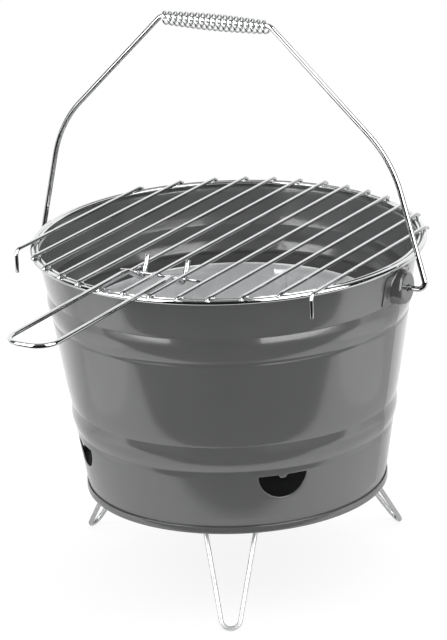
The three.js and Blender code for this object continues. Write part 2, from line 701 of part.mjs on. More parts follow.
// Open pan with a hemmed edge, a lapped seam up its side and air holes in its floor
function charcoalPan() {
  const half = PAN_SHEET / 2;
  const low = PAN_FLOOR_HEIGHT + half;
  const cornerCentre = flat(panRadius(low) - half - PAN_CORNER, low + PAN_CORNER);
  const line = [flat(0, low), ...arc(cornerCentre, PAN_CORNER, -90, 0, CORNER_STEPS)];
  line.push(flat(panRadius(panRimHeight) - half, panRimHeight));
  let body = solid(revolved(sheetOutline(line, PAN_SHEET)));
  const strip = (from, to, thickness, height) => {
    const radius = panRadius(height) - thickness;
    const inner = radius - PAN_SHEET;
    return [flat(radius, from), flat(radius, to), flat(inner, to), flat(inner, from)];
  };
  const hemLow = panRimHeight - PAN_HEM;
  const hem = strip(hemLow, panRimHeight, half, hemLow);
  body = body.add(solid(revolved([...hem, hem[0].clone()])));
  const seamLow = low + PAN_CORNER;
  const inside = (height) => panRadius(height) - half;
  const seam = [
    flat(inside(seamLow), seamLow),
    flat(inside(hemLow), hemLow),
    flat(inside(hemLow) - 2 * half - half, hemLow),
    flat(inside(seamLow) - 2 * half - half, seamLow),
  ];
  const full = solid(revolved([...seam, seam[0].clone()]));
  const width = 2 * panRimRadius * Math.tan((PAN_SEAM_WIDTH / 2) * RAD);
  const window = new THREE.BoxGeometry(panRimRadius, width, panRimHeight);
  window.translate(panRimRadius, 0, panRimHeight / 2).rotateZ(PAN_SEAM_ANGLE * RAD);
  body = body.add(full.intersect(solid(window)));
  for (const { x, y } of panHoles()) {
    const punch = rodAlongZ(PAN_HOLE_RADIUS, PAN_FLOOR_HEIGHT - half, PAN_FLOOR_HEIGHT + 2 * PAN_SHEET);
    body = body.subtract(solid(punch.translate(x, y, 0)));
  }
  return geometryOf(body);
}

// Bent strip between the bottom panel and the pan's floor
function panFoot() {
  const half = PAN_FOOT_SHEET / 2;
  const footRadius = panFloorRadius - PAN_FOOT_INSET;
  const low = panelTop + SEAT_GAP + half;
  const high = PAN_FLOOR_HEIGHT - SEAT_GAP - half;
  const line = [
    flat(footRadius - PAN_FOOT_TOE, high),
    flat(footRadius, high),
    flat(footRadius, low),
    flat(footRadius - PAN_FOOT_TOE, low),
  ];
  return plateAcross(sheetOutline(line, PAN_FOOT_SHEET), PAN_FOOT_WIDTH);
}

// Assembly

const grill = new THREE.Group();

function turned(parent, degrees) {
  const group = new THREE.Group();
  group.rotation.z = degrees * RAD;
  parent.add(group);
  return group;
}

piece(grill, "bucket_wall", "paint", bucketWall());
piece(grill, "bucket_bottom", "paint", bucketBottom());
const earShape = ear();
piece(grill, "ear_right", "paint", earShape);
piece(turned(grill, 180), "ear_left", "paint", earShape);
piece(grill, "bail_wire", "chrome", bailWire());
piece(grill, "grip_coil", "chrome", gripCoil());

const grate = turned(grill, GRATE_TURN);
piece(grate, "grate_ring", "chrome", grateRing());
for (let i = 1; i <= BAR_COUNT; i++) {
  piece(grate, `grate_bar_${String(i).padStart(2, "0")}`, "chrome", grateBar(i));
}
piece(grate, "lifter_wire", "chrome", lifterWire());
piece(grate, "lifter_cross_wire", "chrome", lifterCross());

const legShape = legWire();
const bracketShape = legBracket();
LEG_ANGLES.forEach((angle, i) => {
  const group = turned(grill, angle);
  piece(group, `leg_${i + 1}`, "chrome", legShape);
  piece(group, `leg_bracket_${i + 1}`, "zinc", bracketShape);
});
const rivetShape = bracketRivet();
for (const { name, x, y } of rivetPlaces()) {
  piece(grill, name, "zinc", rivetShape).position.set(x, y, 0);
}

piece(grill, "charcoal_pan", "plated", charcoalPan());
const footShape = panFoot();
PAN_FOOT_ANGLES.forEach((angle, i) => {
  piece(turned(grill, angle), `pan_foot_${i + 1}`, "plated", footShape);
});

export default grill;
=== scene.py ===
"""Portable tabletop charcoal grill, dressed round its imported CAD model.

The sizes below are in millimetres, and those of the camera and the lamps in metres, as Blender's are. +Z is
up the bucket's axis and X runs through the bail's pivots. The grate and the lifter are made with X along the
bars, and then turned about Z.
"""
import math

import bmesh
import bpy
import numpy as np
from mathutils import Matrix, Vector


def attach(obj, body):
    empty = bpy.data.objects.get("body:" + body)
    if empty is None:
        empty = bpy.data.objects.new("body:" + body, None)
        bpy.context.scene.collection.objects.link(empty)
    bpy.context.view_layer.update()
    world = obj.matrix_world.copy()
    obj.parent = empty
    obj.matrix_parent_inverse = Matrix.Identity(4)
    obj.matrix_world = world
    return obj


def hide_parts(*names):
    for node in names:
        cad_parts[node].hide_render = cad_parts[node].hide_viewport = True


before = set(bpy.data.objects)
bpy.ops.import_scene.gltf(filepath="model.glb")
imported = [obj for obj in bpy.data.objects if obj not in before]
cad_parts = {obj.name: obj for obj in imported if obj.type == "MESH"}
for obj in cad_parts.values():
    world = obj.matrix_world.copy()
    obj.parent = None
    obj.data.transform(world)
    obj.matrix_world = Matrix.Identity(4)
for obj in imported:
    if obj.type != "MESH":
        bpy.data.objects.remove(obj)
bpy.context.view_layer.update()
scene = bpy.context.scene
scene.view_settings.view_transform = "Standard"


# Camera: where the photograph was taken from, in front of the lifter's loop and a little to its right.
# It looks down at 19 degrees through a long lens.
LENS = 200.21
SENSOR = 36
FARTHEST = 50
DISTANCE = 2.3465
PITCH = math.radians(19.037)
ROLL = math.radians(-2.324)
CAMERA_TURN = math.radians(29)
AIMED_AT = Vector((-0.005155, 0, -0.054918))  # seen from the middle of the rim
RIM_TO_BASE = 0.164


def placed(name, data):
    """An object that shows the mesh, lamp or lens in the scene."""
    obj = bpy.data.objects.new(name, data)
    scene.collection.objects.link(obj)
    return obj


ahead = Vector((0, math.cos(PITCH), -math.sin(PITCH)))
level = Vector((1, 0, 0))
over = level.cross(ahead)
right = level * math.cos(ROLL) + over * math.sin(ROLL)
above = over * math.cos(ROLL) - level * math.sin(ROLL)
lens = bpy.data.cameras.new("camera")
lens.lens = LENS
lens.sensor_width = SENSOR
lens.clip_end = FARTHEST
camera = placed("camera", lens)
stand = Matrix((right, above, -ahead)).transposed().to_4x4()
stand.translation = AIMED_AT - ahead * DISTANCE + Vector((0, 0, RIM_TO_BASE))
camera.matrix_world = Matrix.Rotation(CAMERA_TURN, 4, "Z") @ stand
scene.camera = camera


# Studio: a white floor and backdrop under soft lamps, as the camera sees them. Gloss sees a small photo
# studio: a lit table with a straight front edge, the dark room before it, a bright backdrop and two panels.
FLOOR_HEIGHT = -60.6
FLOOR_HALF = 9000
FLOOR_COLOUR = (0.8, 0.8, 0.8, 1)
FLOOR_SHADED = (0.16, 0.16, 0.16, 1)  # the share of the floor's white that shadows take away
FLOOR_WHITE = 0.87
FRONT_AZIMUTH = -61
TABLE_EDGE = 0.185  # metres from the bucket's axis to the table's front edge
EDGE_SHARPNESS = 60
TABLE_SHEEN = 1.2
TABLE_FAR = -0.32  # where the painted light's tones across the table begin and end, read from the back forwards
TABLE_NEAR = 0.2
TABLE_LIGHT_TONES = ((0, 0.92), (0.19, 0.82), (0.29, 0.7), (0.41, 0.57), (0.55, 0.66), (0.71, 0.84), (0.87, 1))
POOL_AT = (0.04, 0.55)  # metres forwards and to both sides, where a painted pool of light makes the table brighter
POOL_HALF = (0.14, 0.26)
POOL_SHARPNESS = 8
POOL_GAIN = 0.3
POOL_BESIDE = 0.95
ROOM_SHEEN = 0.025
BACKDROP_SHEEN = 1.4
BACKDROP_FADE = (-8, -3.4)  # factor and shift of a direction's reach forwards
CEILING_SHEEN = 0.35
CEILING_FADE = (5, -3.25)  # factor and shift of a direction's height
WORLD_FILL = 0.55  # the world's light on all that isn't gloss
PANEL_SHEEN = 5.6
PANEL_AWAY = 1050
PANEL_FOOT = 12
PANEL_TOP = 1800
PANEL_SIDES = ((-75, -36), (16, 65))  # degrees from the front
LAMPS_AIM = Vector((0, 0, 0.1))
# Each lamp: name, azimuth and elevation in degrees, distance and side in metres, power in watts
LAMPS = (("lamp_above", 90, 82, 1.6, 1.5, 16), ("lamp_left", -150, 38, 1.7, 1.0, 9),
         ("lamp_right", 30, 38, 1.7, 1.0, 9))
to_front = (math.cos(math.radians(FRONT_AZIMUTH)), math.sin(math.radians(FRONT_AZIMUTH)), 0)
to_side = (-to_front[1], to_front[0], 0)


def shader_tree(name):
    """A new material and its emptied node tree."""
    material = bpy.data.materials.new(name)
    material.use_nodes = True
    material.node_tree.nodes.clear()
    return material, material.node_tree


def add(tree, kind, settings=None, **sockets):
    """A node of that kind, with its settings. Its sockets are given values, or joined to outputs or to the
    first outputs of nodes. A socket is named by its label with underscores, or by i and its number."""
    node = tree.nodes.new(kind)
    for key, value in (settings or {}).items():
        setattr(node, key, value)
    for key, value in sockets.items():
        numbered = key[0] == "i" and key[1:].isdigit()
        socket = node.inputs[int(key[1:])] if numbered else node.inputs[key.replace("_", " ")]
        if isinstance(value, bpy.types.Node):
            value = value.outputs[0]
        if isinstance(value, bpy.types.NodeSocket):
            tree.links.new(value, socket)
        else:
            socket.default_value = value
    return node


def sums(tree, operation, a, b=0.0, c=0.0, clamp=False):
    """The output of one Math node."""
    settings = {"operation": operation, "use_clamp": clamp}
    return add(tree, "ShaderNodeMath", settings, i0=a, i1=b, i2=c).outputs[0]


def scaled(tree, value, factor, shift, clamp=False):
    """The value times the factor plus the shift."""
    return sums(tree, "MULTIPLY_ADD", value, factor, shift, clamp)


def dot(tree, vector, way):
    """How far a point or direction reaches along the way: their dot product."""
    return add(tree, "ShaderNodeVectorMath", {"operation": "DOT_PRODUCT"}, i0=vector, i1=way).outputs["Value"]


def ramp(tree, factor, *stops):
    """A colour ramp's output. Each stop is a place from 0 to 1 and a grey value or a colour."""
    node = add(tree, "ShaderNodeValToRGB", Fac=factor)
    elements = node.color_ramp.elements
    while len(elements) < len(stops):
        elements.new(0.5)
    for element, (at, value) in zip(elements, stops):
        element.position = at
        element.color = value if isinstance(value, tuple) else (value, value, value, 1)
    return node.outputs[0]


def spread(*coordinates):
    """Points whose coordinates are those arrays, spread to one shape."""
    return np.stack(np.broadcast_arrays(*coordinates), axis=-1)


def polar(radius, angle, height):
    """Points round the Z axis: radius times the cosine and sine of the angle in degrees, and the height."""
    turn = np.radians(angle)
    return spread(radius * np.cos(turn), radius * np.sin(turn), height)


def studio_piece(name, corners, material):
    """A flat piece of the studio with those four corners in millimetres."""
    flat = bpy.data.meshes.new(name)
    flat.from_pydata(corners / 1000, [], [(0, 1, 2, 3)])
    flat.materials.append(material)
    return placed(name, flat)


floor_material, tree = shader_tree("floor_white")
floor_material.cycles.emission_sampling = "NONE"
spot = add(tree, "ShaderNodeTexCoord").outputs["Object"]
forwards = dot(tree, spot, to_front)
sideways = sums(tree, "ABSOLUTE", dot(tree, spot, to_side))
depth = TABLE_NEAR - TABLE_FAR
# The table seen in gloss glows with painted light: tones that fall off across it, and a brighter pool
table = ramp(tree, scaled(tree, forwards, 1 / depth, -TABLE_FAR / depth), *TABLE_LIGHT_TONES)
# A painted pool of light is where the fourth powers of the ways from its middle, in half sizes, add up to
# less than 1
powers = [sums(tree, "POWER", sums(tree, "ABSOLUTE", scaled(tree, reach, 1 / half, -at / half)), 4)
          for reach, at, half in zip((forwards, sideways), POOL_AT, POOL_HALF)]
light_pool = scaled(tree, sums(tree, "ADD", *powers), -POOL_SHARPNESS, POOL_SHARPNESS + 0.5, clamp=True)
table = sums(tree, "MULTIPLY", table, scaled(tree, light_pool, POOL_GAIN, POOL_BESIDE))
lit = scaled(tree, forwards, -EDGE_SHARPNESS, 0.5 + EDGE_SHARPNESS * TABLE_EDGE, clamp=True)
sheen = scaled(tree, sums(tree, "MULTIPLY", lit, table), TABLE_SHEEN, ROOM_SHEEN)
rays = add(tree, "ShaderNodeLightPath").outputs
shade = add(tree, "ShaderNodeBsdfDiffuse", Color=FLOOR_SHADED)
seen = add(tree, "ShaderNodeAddShader", i0=shade, i1=add(tree, "ShaderNodeEmission", Strength=FLOOR_WHITE))
bounce = add(tree, "ShaderNodeBsdfDiffuse", Color=FLOOR_COLOUR)
mixed = add(tree, "ShaderNodeMixShader", i0=rays["Is Camera Ray"], i1=bounce, i2=seen)
gloss = sums(tree, "MAXIMUM", rays["Is Glossy Ray"], rays["Is Transmission Ray"])
glow = add(tree, "ShaderNodeEmission", Strength=sheen)
mixed = add(tree, "ShaderNodeMixShader", i0=gloss, i1=mixed, i2=glow)
add(tree, "ShaderNodeOutputMaterial", Surface=mixed)
corners = np.array([(-1, -1), (1, -1), (1, 1), (-1, 1)]) * FLOOR_HALF
floor = studio_piece("floor", np.c_[corners, np.full(4, FLOOR_HEIGHT)], floor_material)

world = bpy.data.worlds.new("studio")
world.use_nodes = True
tree = world.node_tree
tree.nodes.clear()
rays = add(tree, "ShaderNodeLightPath").outputs
shown = sums(tree, "MAXIMUM", rays["Is Camera Ray"], rays["Is Transmission Ray"])
strength = scaled(tree, shown, 1 - WORLD_FILL, WORLD_FILL)
direction = add(tree, "ShaderNodeTexCoord").outputs["Generated"]
behind = scaled(tree, dot(tree, direction, to_front), *BACKDROP_FADE, clamp=True)
height = add(tree, "ShaderNodeSeparateXYZ", Vector=direction).outputs["Z"]
overhead = scaled(tree, height, *CEILING_FADE, clamp=True)
low = scaled(tree, behind, BACKDROP_SHEEN - ROOM_SHEEN, ROOM_SHEEN)
mirrored = scaled(tree, overhead, sums(tree, "SUBTRACT", CEILING_SHEEN, low), low)
change = sums(tree, "SUBTRACT", mirrored, strength)
strength = scaled(tree, rays["Is Glossy Ray"], change, strength)
background = add(tree, "ShaderNodeBackground", Color=(1, 1, 1, 1), Strength=strength)
add(tree, "ShaderNodeOutputWorld", Surface=background)
scene.world = world

panel_material, tree = shader_tree("soft_panel")
panel_material.cycles.emission_sampling = "NONE"
in_gloss = add(tree, "ShaderNodeLightPath").outputs["Is Glossy Ray"]
glow = add(tree, "ShaderNodeEmission", Strength=PANEL_SHEEN)
either = add(tree, "ShaderNodeMixShader", i0=in_gloss, i1=add(tree, "ShaderNodeBsdfTransparent"), i2=glow)
add(tree, "ShaderNodeOutputMaterial", Surface=either)
for name, sides in zip(("panel_left", "panel_right"), PANEL_SIDES):
    rise = [PANEL_FOOT, PANEL_FOOT, PANEL_TOP, PANEL_TOP]
    corners = polar(PANEL_AWAY, np.array(sides)[[0, 1, 1, 0]] + FRONT_AZIMUTH, rise)
    panel = studio_piece(name, corners, panel_material)

for name, turn, lift, away, width, power in LAMPS:
    lamp = bpy.data.lights.new(name, "AREA")
    lamp.shape = "SQUARE"
    lamp.size = width
    lamp.energy = power
    holder = placed(name, lamp)
    holder.visible_glossy = False  # gloss sees the studio's panels instead
    turn, lift = math.radians(turn), math.radians(lift)
    out = Vector((math.cos(lift) * math.cos(turn), math.cos(lift) * math.sin(turn), math.sin(lift)))
    facing = out.to_track_quat("Z", "Y").to_matrix().to_4x4()
    holder.matrix_world = Matrix.Translation(LAMPS_AIM + out * away) @ facing


# Bucket wall: one sheet of steel, rolled to a cone and painted grey inside and out. Two bands are pressed
# outwards, four half-moon draught vents are punched near the foot, and a lapped seam closes it.
RIM_RADIUS = 130
RIM_HEIGHT = 164
ROLL_RADIUS = 2.4  # of the solid's rolled rim, which sets where the wall ends and the bars' ends curl
SHEET = 0.8
NECK_STEP = 0.4
NECK_HEIGHT = 2.2
BEAD_RADIUS = 1.85
BEAD_CENTRE = (128.15, 164.75)  # its radius from the bucket's axis, and its height
CUT_EDGE_IN = 0.6  # where the sheet ends inside the bead: in from its centre, and down in bead radii
CUT_EDGE_DOWN = 0.8
FOOT_RADIUS = 99.4
FOOT_FLARE = 0.9
FOOT_LOW = -1.3
CHIME_TOP = 2.5
LOW_HEIGHT = 8
WALL_BENDS = (2, 4, 0.8)
BAND_CREASES = (59.8, 137.3)  # heights of the bands' upper creases
# Each band's way out from the cone, read downwards: millimetres below the crease, and slope outwards
BAND_SLOPES = ((-15, 0), (-7, -0.025), (-1.6, -0.09), (-0.3, -0.2), (0.2, 0.292), (4.8, 0.27), (7.3, 0.03),
               (10, 0), (12.7, -0.15), (17, -0.3), (17.4, -0.02), (18.1, 0.02), (18.6, 0.285), (19.4, 0.285),
               (20.8, 0))
# A band's rows of points: from, to and step, in millimetres below the crease
BAND_ROWS = ((-7, -1.6, 1.35), (-1.6, 1, 0.26), (1, 16.6, 1.3), (16.6, 20.2, 0.25), (20.2, 23, 1))
BAND_SUM_STEPS = 300
WALL_ROWS = 2.6  # longest step up the plain wall
ROWS_APART = 0.9  # least room between a plain row and a band's row
VENT_ANGLES = (45, 135, -135, -45)
VENT_TOP = 37.7
VENT_RADIUS = 16.1
VENT_NUB = ((-3, 0), (-1.7, -2.3), (1.7, -2.3), (3, 0))
NUB_POINTS = (9, 11, 13, 15)  # the points along the vent's top that are the nub's corners
WALL_STEP = 1.5  # degrees between points round the wall, away from the vents
WINDOW_HALF = 12  # degrees to each side of a vent that its own patch fills
WINDOW_LOW = 17
WINDOW_HIGH = 41.5
WINDOW_ROWS = 12
PUNCH_ROUND = 0.6  # how the punch draws the edge of a vent inwards
SEAM_ANGLE = 2.5
SEAM_RUN = 9  # degrees over which the outer end of the sheet stands off before the seam
SEAM_STEP = 0.12  # degrees over which it drops back to the circle
SEAM_RISE = 0.8
SEAM_FADE = 3  # height over which the seam closes near the rim and the chime
PIVOT_HEIGHT = 147.5  # of the bail's pivots in the ears
SEAM_HELD = 11  # how far above and below the pivot the ear's flange holds the seam flat
SEAM_PRESSED = 2  # height over which it closes towards the flange
JOINED = 2e-6  # metres between points that are one
PEEL_SIZE = 900.0
SPECK_SIZE = 260.0
CLOUD_SIZE = 14.0
DUST = (0.3, 0.3, 0.3, 1)
DUST_SHARE = 0.04
ROLL_CENTRE = RIM_RADIUS - ROLL_RADIUS
WALL_TOP_RADIUS = ROLL_CENTRE - ROLL_RADIUS - NECK_STEP


def wall_radius(height):
    """Outside radius of the plain cone: the foot's radius plus the taper's share of the height above it."""
    low = FOOT_RADIUS + FOOT_FLARE
    return low + (height - LOW_HEIGHT) / (RIM_HEIGHT - LOW_HEIGHT) * (WALL_TOP_RADIUS - low)


def rounded(corners, bends, steps=6):
    """The path through the corners, with each inner corner replaced by an arc of its own bend radius: its
    start, plus the way in times radius times sin a, plus the side times radius times (1 - cos a), for a up to
    the turn."""
    corners = np.asarray(corners, float)
    runs = np.diff(corners, axis=0)
    runs /= np.linalg.norm(runs, axis=1, keepdims=True)
    into, out = runs[:-1], runs[1:]
    bends = np.broadcast_to(np.asarray(bends, float), len(into))[:, None]
    cosine = np.sum(into * out, axis=1, keepdims=True).clip(-1, 1)
    turn = np.arccos(cosine)
    side = out - into * cosine
    side /= np.maximum(np.linalg.norm(side, axis=1, keepdims=True), 1e-9)
    start = corners[1:-1] - into * bends * np.tan(turn / 2)
    angle = (turn * np.linspace(0, 1, steps + 1))[:, :, None]
    arcs = start[:, None] + bends[:, :, None] * (
        into[:, None] * np.sin(angle) + side[:, None] * (1 - np.cos(angle))
    )
    return np.concatenate([corners[:1], arcs.reshape(-1, corners.shape[1]), corners[-1:]])


def refined(path, longest):
    """The same path with each stretch split evenly into pieces no longer than longest."""
    lengths = np.linalg.norm(np.diff(path, axis=0), axis=1)
    counts = np.maximum(np.ceil(lengths / longest), 1).astype(int)
    starts = np.repeat(np.arange(len(counts)), counts)
    within = np.arange(counts.sum()) - np.repeat(np.cumsum(counts) - counts, counts)
    share = (within / counts[starts])[:, None]
    return np.concatenate([path[starts] + share * (path[starts + 1] - path[starts]), path[-1:]])


def circle(centre, radius, start, end, steps):
    """Points of an arc round a centre, from one angle in degrees to another."""
    angle = np.radians(np.linspace(start, end, steps + 1))
    return np.c_[centre[0] + radius * np.cos(angle), centre[1] + radius * np.sin(angle)]


def grid_faces(rows, columns, first):
    """Quads of a grid whose points are numbered row by row from the first."""
    corner = first + (np.arange(rows - 1)[:, None] * columns + np.arange(columns - 1)).ravel()
    return np.c_[corner, corner + 1, corner + columns + 1, corner + columns]


def surface(name, grids, material, uvs=None):
    """An object made of point grids in millimetres, joined where they meet, with smooth faces. Its faces look
    along the step to the next column times the step to the next row. uvs holds one pair of millimetre
    coordinates for each point, where a finish follows the surface."""
    points, faces, first = [], [], 0
    for grid in grids:
        rows, columns = grid.shape[:2]
        points.append(grid.reshape(-1, 3))
        faces.append(grid_faces(rows, columns, first))
        first += rows * columns
    points, faces = np.concatenate(points) / 1000, np.concatenate(faces)
    mesh = bpy.data.meshes.new(name)
    mesh.from_pydata(points, [], faces.tolist())
    if uvs is not None:
        flat = np.concatenate([uv.reshape(-1, 2) for uv in uvs]) / 1000
        layer = mesh.uv_layers.new(name="along")
        layer.data.foreach_set("uv", flat[faces.ravel()].ravel().astype(np.float32))
    joined = bmesh.new()
    joined.from_mesh(mesh)
    bmesh.ops.remove_doubles(joined, verts=joined.verts, dist=JOINED)
    for face in joined.faces:
        face.smooth = True
    joined.to_mesh(mesh)
    joined.free()
    mesh.materials.append(material)
    return placed(name, mesh)


def thicken(obj, sheet, bevel):
    """Gives the surface the sheet's thickness behind its faces, and rounds the sheet's edges."""
    solid = obj.modifiers.new("sheet", "SOLIDIFY")
    solid.thickness = sheet / 1000
    solid.offset = -1
    solid.use_even_offset = True
    edge = obj.modifiers.new("edges", "BEVEL")
    edge.width = bevel / 1000
    edge.segments = 2
    edge.limit_method = "ANGLE"
    edge.angle_limit = math.radians(50)


def noise(tree, where, scale, detail, roughness=0.5):
    """The output of one Noise Texture."""
    return add(tree, "ShaderNodeTexNoise", Vector=where, Scale=scale, Detail=detail,
               Roughness=roughness).outputs[0]


def blended(tree, share, first, second):
    """The colour that lies that share of the way from the first to the second."""
    return add(tree, "ShaderNodeMix", {"data_type": "RGBA"}, i0=share, i6=first, i7=second).outputs[2]


def finish(tree, **sockets):
    """Joins a Principled BSDF with those sockets to the material's output."""
    add(tree, "ShaderNodeOutputMaterial", Surface=add(tree, "ShaderNodeBsdfPrincipled", **sockets))


def effect_group(name, takes, gives):
    """A new node group with number sockets of those names, its inputs, and the Object coordinates."""
    group = bpy.data.node_groups.new(name, "ShaderNodeTree")
    for way, labels in (("INPUT", takes), ("OUTPUT", gives)):
        for label in labels:
            group.interface.new_socket(label, in_out=way, socket_type="NodeSocketFloat")
    where = add(group, "ShaderNodeTexCoord").outputs["Object"]
    return group, add(group, "NodeGroupInput").outputs, where


# Sprayed paint: fine orange peel, sparse specks of dust and slow clouds
sprayed, taken, where = effect_group("sprayed_paint", ("Peel size", "Speck size"), ("Peel", "Speck", "Cloud"))
speck = ramp(sprayed, noise(sprayed, where, taken["Speck size"], 3.0, 0.6), (0.66, 0), (0.74, 1))
add(sprayed, "NodeGroupOutput", Peel=noise(sprayed, where, taken["Peel size"], 2.0, 0.45), Speck=speck,
    Cloud=noise(sprayed, where, CLOUD_SIZE, 4.0, 0.6))


def sprayed_enamel(name, dark, light):
    """Grey enamel: slow clouds between the two tones, a little dust, fine orange peel and a clear top."""
    material, tree = shader_tree(name)
    sizes = {"Peel_size": PEEL_SIZE, "Speck_size": SPECK_SIZE}
    effect = add(tree, "ShaderNodeGroup", {"node_tree": sprayed}, **sizes).outputs
    tone = ramp(tree, effect["Cloud"], (0.25, dark), (0.75, light))
    dusty = blended(tree, sums(tree, "MULTIPLY", effect["Speck"], DUST_SHARE), tone, DUST)
    rough = scaled(tree, effect["Cloud"], 0.08, 0.14)
    peel = add(tree, "ShaderNodeBump", Strength=0.03, Distance=0.0004, Height=effect["Peel"])
    finish(tree, Base_Color=dusty, Roughness=rough, Normal=peel, IOR=1.5, Coat_Weight=0.6,
           Coat_Roughness=0.05)
    return material


paint = sprayed_enamel("grey_enamel", (0.126, 0.127, 0.129, 1), (0.14, 0.141, 0.143, 1))

neck = RIM_HEIGHT - NECK_HEIGHT
wall_corners = [(FOOT_RADIUS, FOOT_LOW), (FOOT_RADIUS, CHIME_TOP + SHEET / 2),
                (wall_radius(LOW_HEIGHT), LOW_HEIGHT), (wall_radius(neck), neck),
                (BEAD_CENTRE[0] - CUT_EDGE_IN, BEAD_CENTRE[1] - CUT_EDGE_DOWN * BEAD_RADIUS)]
wall_profile = refined(rounded(wall_corners, WALL_BENDS), WALL_ROWS)


def band_rise(height):
    """How far the bands stand out of the cone at a height: the running sum of the slopes below each crease,
    less an even share of what is left at its end."""
    steps = np.linspace(BAND_SLOPES[0][0], BAND_SLOPES[-1][0], BAND_SUM_STEPS)
    slope = np.interp(steps, *np.transpose(BAND_SLOPES))
    out = np.r_[0, np.cumsum((slope[1:] + slope[:-1]) / 2 * np.diff(steps))]
    out -= out[-1] * np.linspace(0, 1, len(out))
    return sum(np.interp(crease - height, steps, out, left=0, right=0) for crease in BAND_CREASES)


band_rows = np.concatenate([np.arange(*row) for row in BAND_ROWS])
fine = np.unique(np.array(BAND_CREASES)[:, None] - band_rows)
rows = wall_profile[:, 1]
plain = rows[np.abs(rows[:, None] - fine).min(axis=1) > ROWS_APART]
plain = np.sort(np.concatenate([plain, fine]))
wall_profile = np.c_[np.interp(plain, rows, wall_profile[:, 0]) + band_rise(plain), plain]


def wall_radius_at(height):
    """Outside radius of the wall with its bands, read off the profile."""
    return np.interp(height, wall_profile[:, 1], wall_profile[:, 0])


# The rows are moved so that two of them lie on the window's edges, with even rows between them
window_rows = np.linspace(WINDOW_LOW, WINDOW_HIGH, WINDOW_ROWS + 1)
below = wall_profile[wall_profile[:, 1] < WINDOW_LOW - 0.5]
beyond = wall_profile[wall_profile[:, 1] > WINDOW_HIGH + 0.3]
wall_profile = np.concatenate([below, np.c_[wall_radius_at(window_rows), window_rows], beyond])
seam_angles = SEAM_ANGLE + np.array([-SEAM_RUN, -0.3, 0, SEAM_STEP, 0.6])


def on_wall(angle, radius, height):
    """Points at those angles in degrees. Before the seam the outer end of the sheet rises off the circle by
    the share of the run to the power 1.5, and drops back to it past the seam."""
    past = angle - SEAM_ANGLE
    lap = SEAM_RISE * np.clip(1 + past / SEAM_RUN, 0, 1) ** 1.5 * np.clip(1 - past / SEAM_STEP, 0, 1)
    lap = lap * np.clip((RIM_HEIGHT - SEAM_FADE - height) / SEAM_FADE, 0, 1)
    lap = lap * np.clip((height - CHIME_TOP - SEAM_FADE) / SEAM_FADE, 0, 1)
    lap = lap * np.clip((np.abs(height - PIVOT_HEIGHT) - SEAM_HELD) / SEAM_PRESSED, 0, 1)
    return polar(radius + lap, angle, height)


def vent_loop():
    """Outline of a vent as across and up, one point for each point of the window's edge: the flat top with
    its nub against the window's top, and the half-moon against its other three sides."""
    columns = 2 * WINDOW_HALF
    knots = [0, *NUB_POINTS, columns]
    across = [-VENT_RADIUS] + [x for x, _ in VENT_NUB] + [VENT_RADIUS]
    up = [0] + [y for _, y in VENT_NUB] + [0]
    count = np.arange(columns + 1)
    top = np.c_[np.interp(count, knots, across), np.interp(count, knots, up)]
    moon = circle((0, 0), VENT_RADIUS, 0, -180, columns + 2 * WINDOW_ROWS)
    return np.concatenate([top, moon[1:]])


def four_sided(steps, side_steps, low, high):
    """Points round a rectangle between two corners: along its top, down the far side, back and up again."""
    knots = np.cumsum([0, steps, side_steps, steps, side_steps])
    count = np.arange(knots[-1] + 1)
    return np.c_[np.interp(count, knots, [low[0], high[0], high[0], low[0], low[0]]),
                 np.interp(count, knots, [high[1], high[1], low[1], low[1], high[1]])]


def vent_patch(centre):
    """Ruled surface from the vent's outline to the window's edge, whose first rows curl inwards at the
    punched edge by round minus the square root of round squared minus (round - distance) squared."""
    window = four_sided(2 * WINDOW_HALF, WINDOW_ROWS, (centre - WINDOW_HALF, WINDOW_LOW),
                        (centre + WINDOW_HALF, WINDOW_HIGH))
    outline = vent_loop()
    per_degree = wall_radius(VENT_TOP) * math.pi / 180
    outer = np.c_[(window[:, 0] - centre) * per_degree, window[:, 1] - VENT_TOP]
    near = np.array([0, 0.06, 0.2, 0.4, 0.7, 1.0]) * PUNCH_ROUND
    curled = near[:, None] / np.linalg.norm(outer - outline, axis=1)
    plain = curled[-1] + (1 - curled[-1]) * np.array([0.25, 0.55, 1])[:, None]
    flat = outline + np.concatenate([curled, plain])[:, :, None] * (outer - outline)
    away = np.r_[near, np.full(3, PUNCH_ROUND)][:, None]
    curl = PUNCH_ROUND - np.sqrt(PUNCH_ROUND**2 - (PUNCH_ROUND - away) ** 2)
    height = flat[..., 1] + VENT_TOP
    return on_wall(centre + flat[..., 0] / per_degree, wall_radius_at(height) - curl, height)


def wall_strip(angles, profile):
    """Part of the wall between the angles, as the profile turned about the axis, from the last angle back."""
    return on_wall(angles[::-1, None], profile[:, 0], profile[:, 1])


wall_grids = []
edges = sorted(angle + side * WINDOW_HALF for angle in VENT_ANGLES for side in (-1, 1))
for low, high in zip([-180] + edges, edges + [180]):
    middle = (low + high) / 2
    if middle in VENT_ANGLES:
        angles = np.linspace(low, high, high - low + 1)
        wall_grids.append(wall_strip(angles, wall_profile[: len(below) + 1]))
        wall_grids.append(wall_strip(angles, wall_profile[len(below) + WINDOW_ROWS:]))
        wall_grids.append(vent_patch(middle))
    else:
        angles = np.linspace(low, high, round((high - low) / WALL_STEP) + 1)
        seam_here = seam_angles[(seam_angles > low) & (seam_angles < high)]
        wall_grids.append(wall_strip(np.unique(np.concatenate([angles, seam_here])), wall_profile))
wall = surface("bucket_wall_sheet", wall_grids, paint)
thicken(wall, SHEET, 0.18)
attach(wall, "bucket")
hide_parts("bucket_wall")


# Bottom: a pressed disc of the same painted steel. Its edge goes down inside the wall's foot, round it and up
# outside, which makes the chime that the bucket stands on when the legs are folded.
CHIME_DEPTH = 2.4
SEAT_GAP = 0.3
FOLD = 0.6
CHIME_ROUND = 1.1
BOTTOM_STEPS = 180


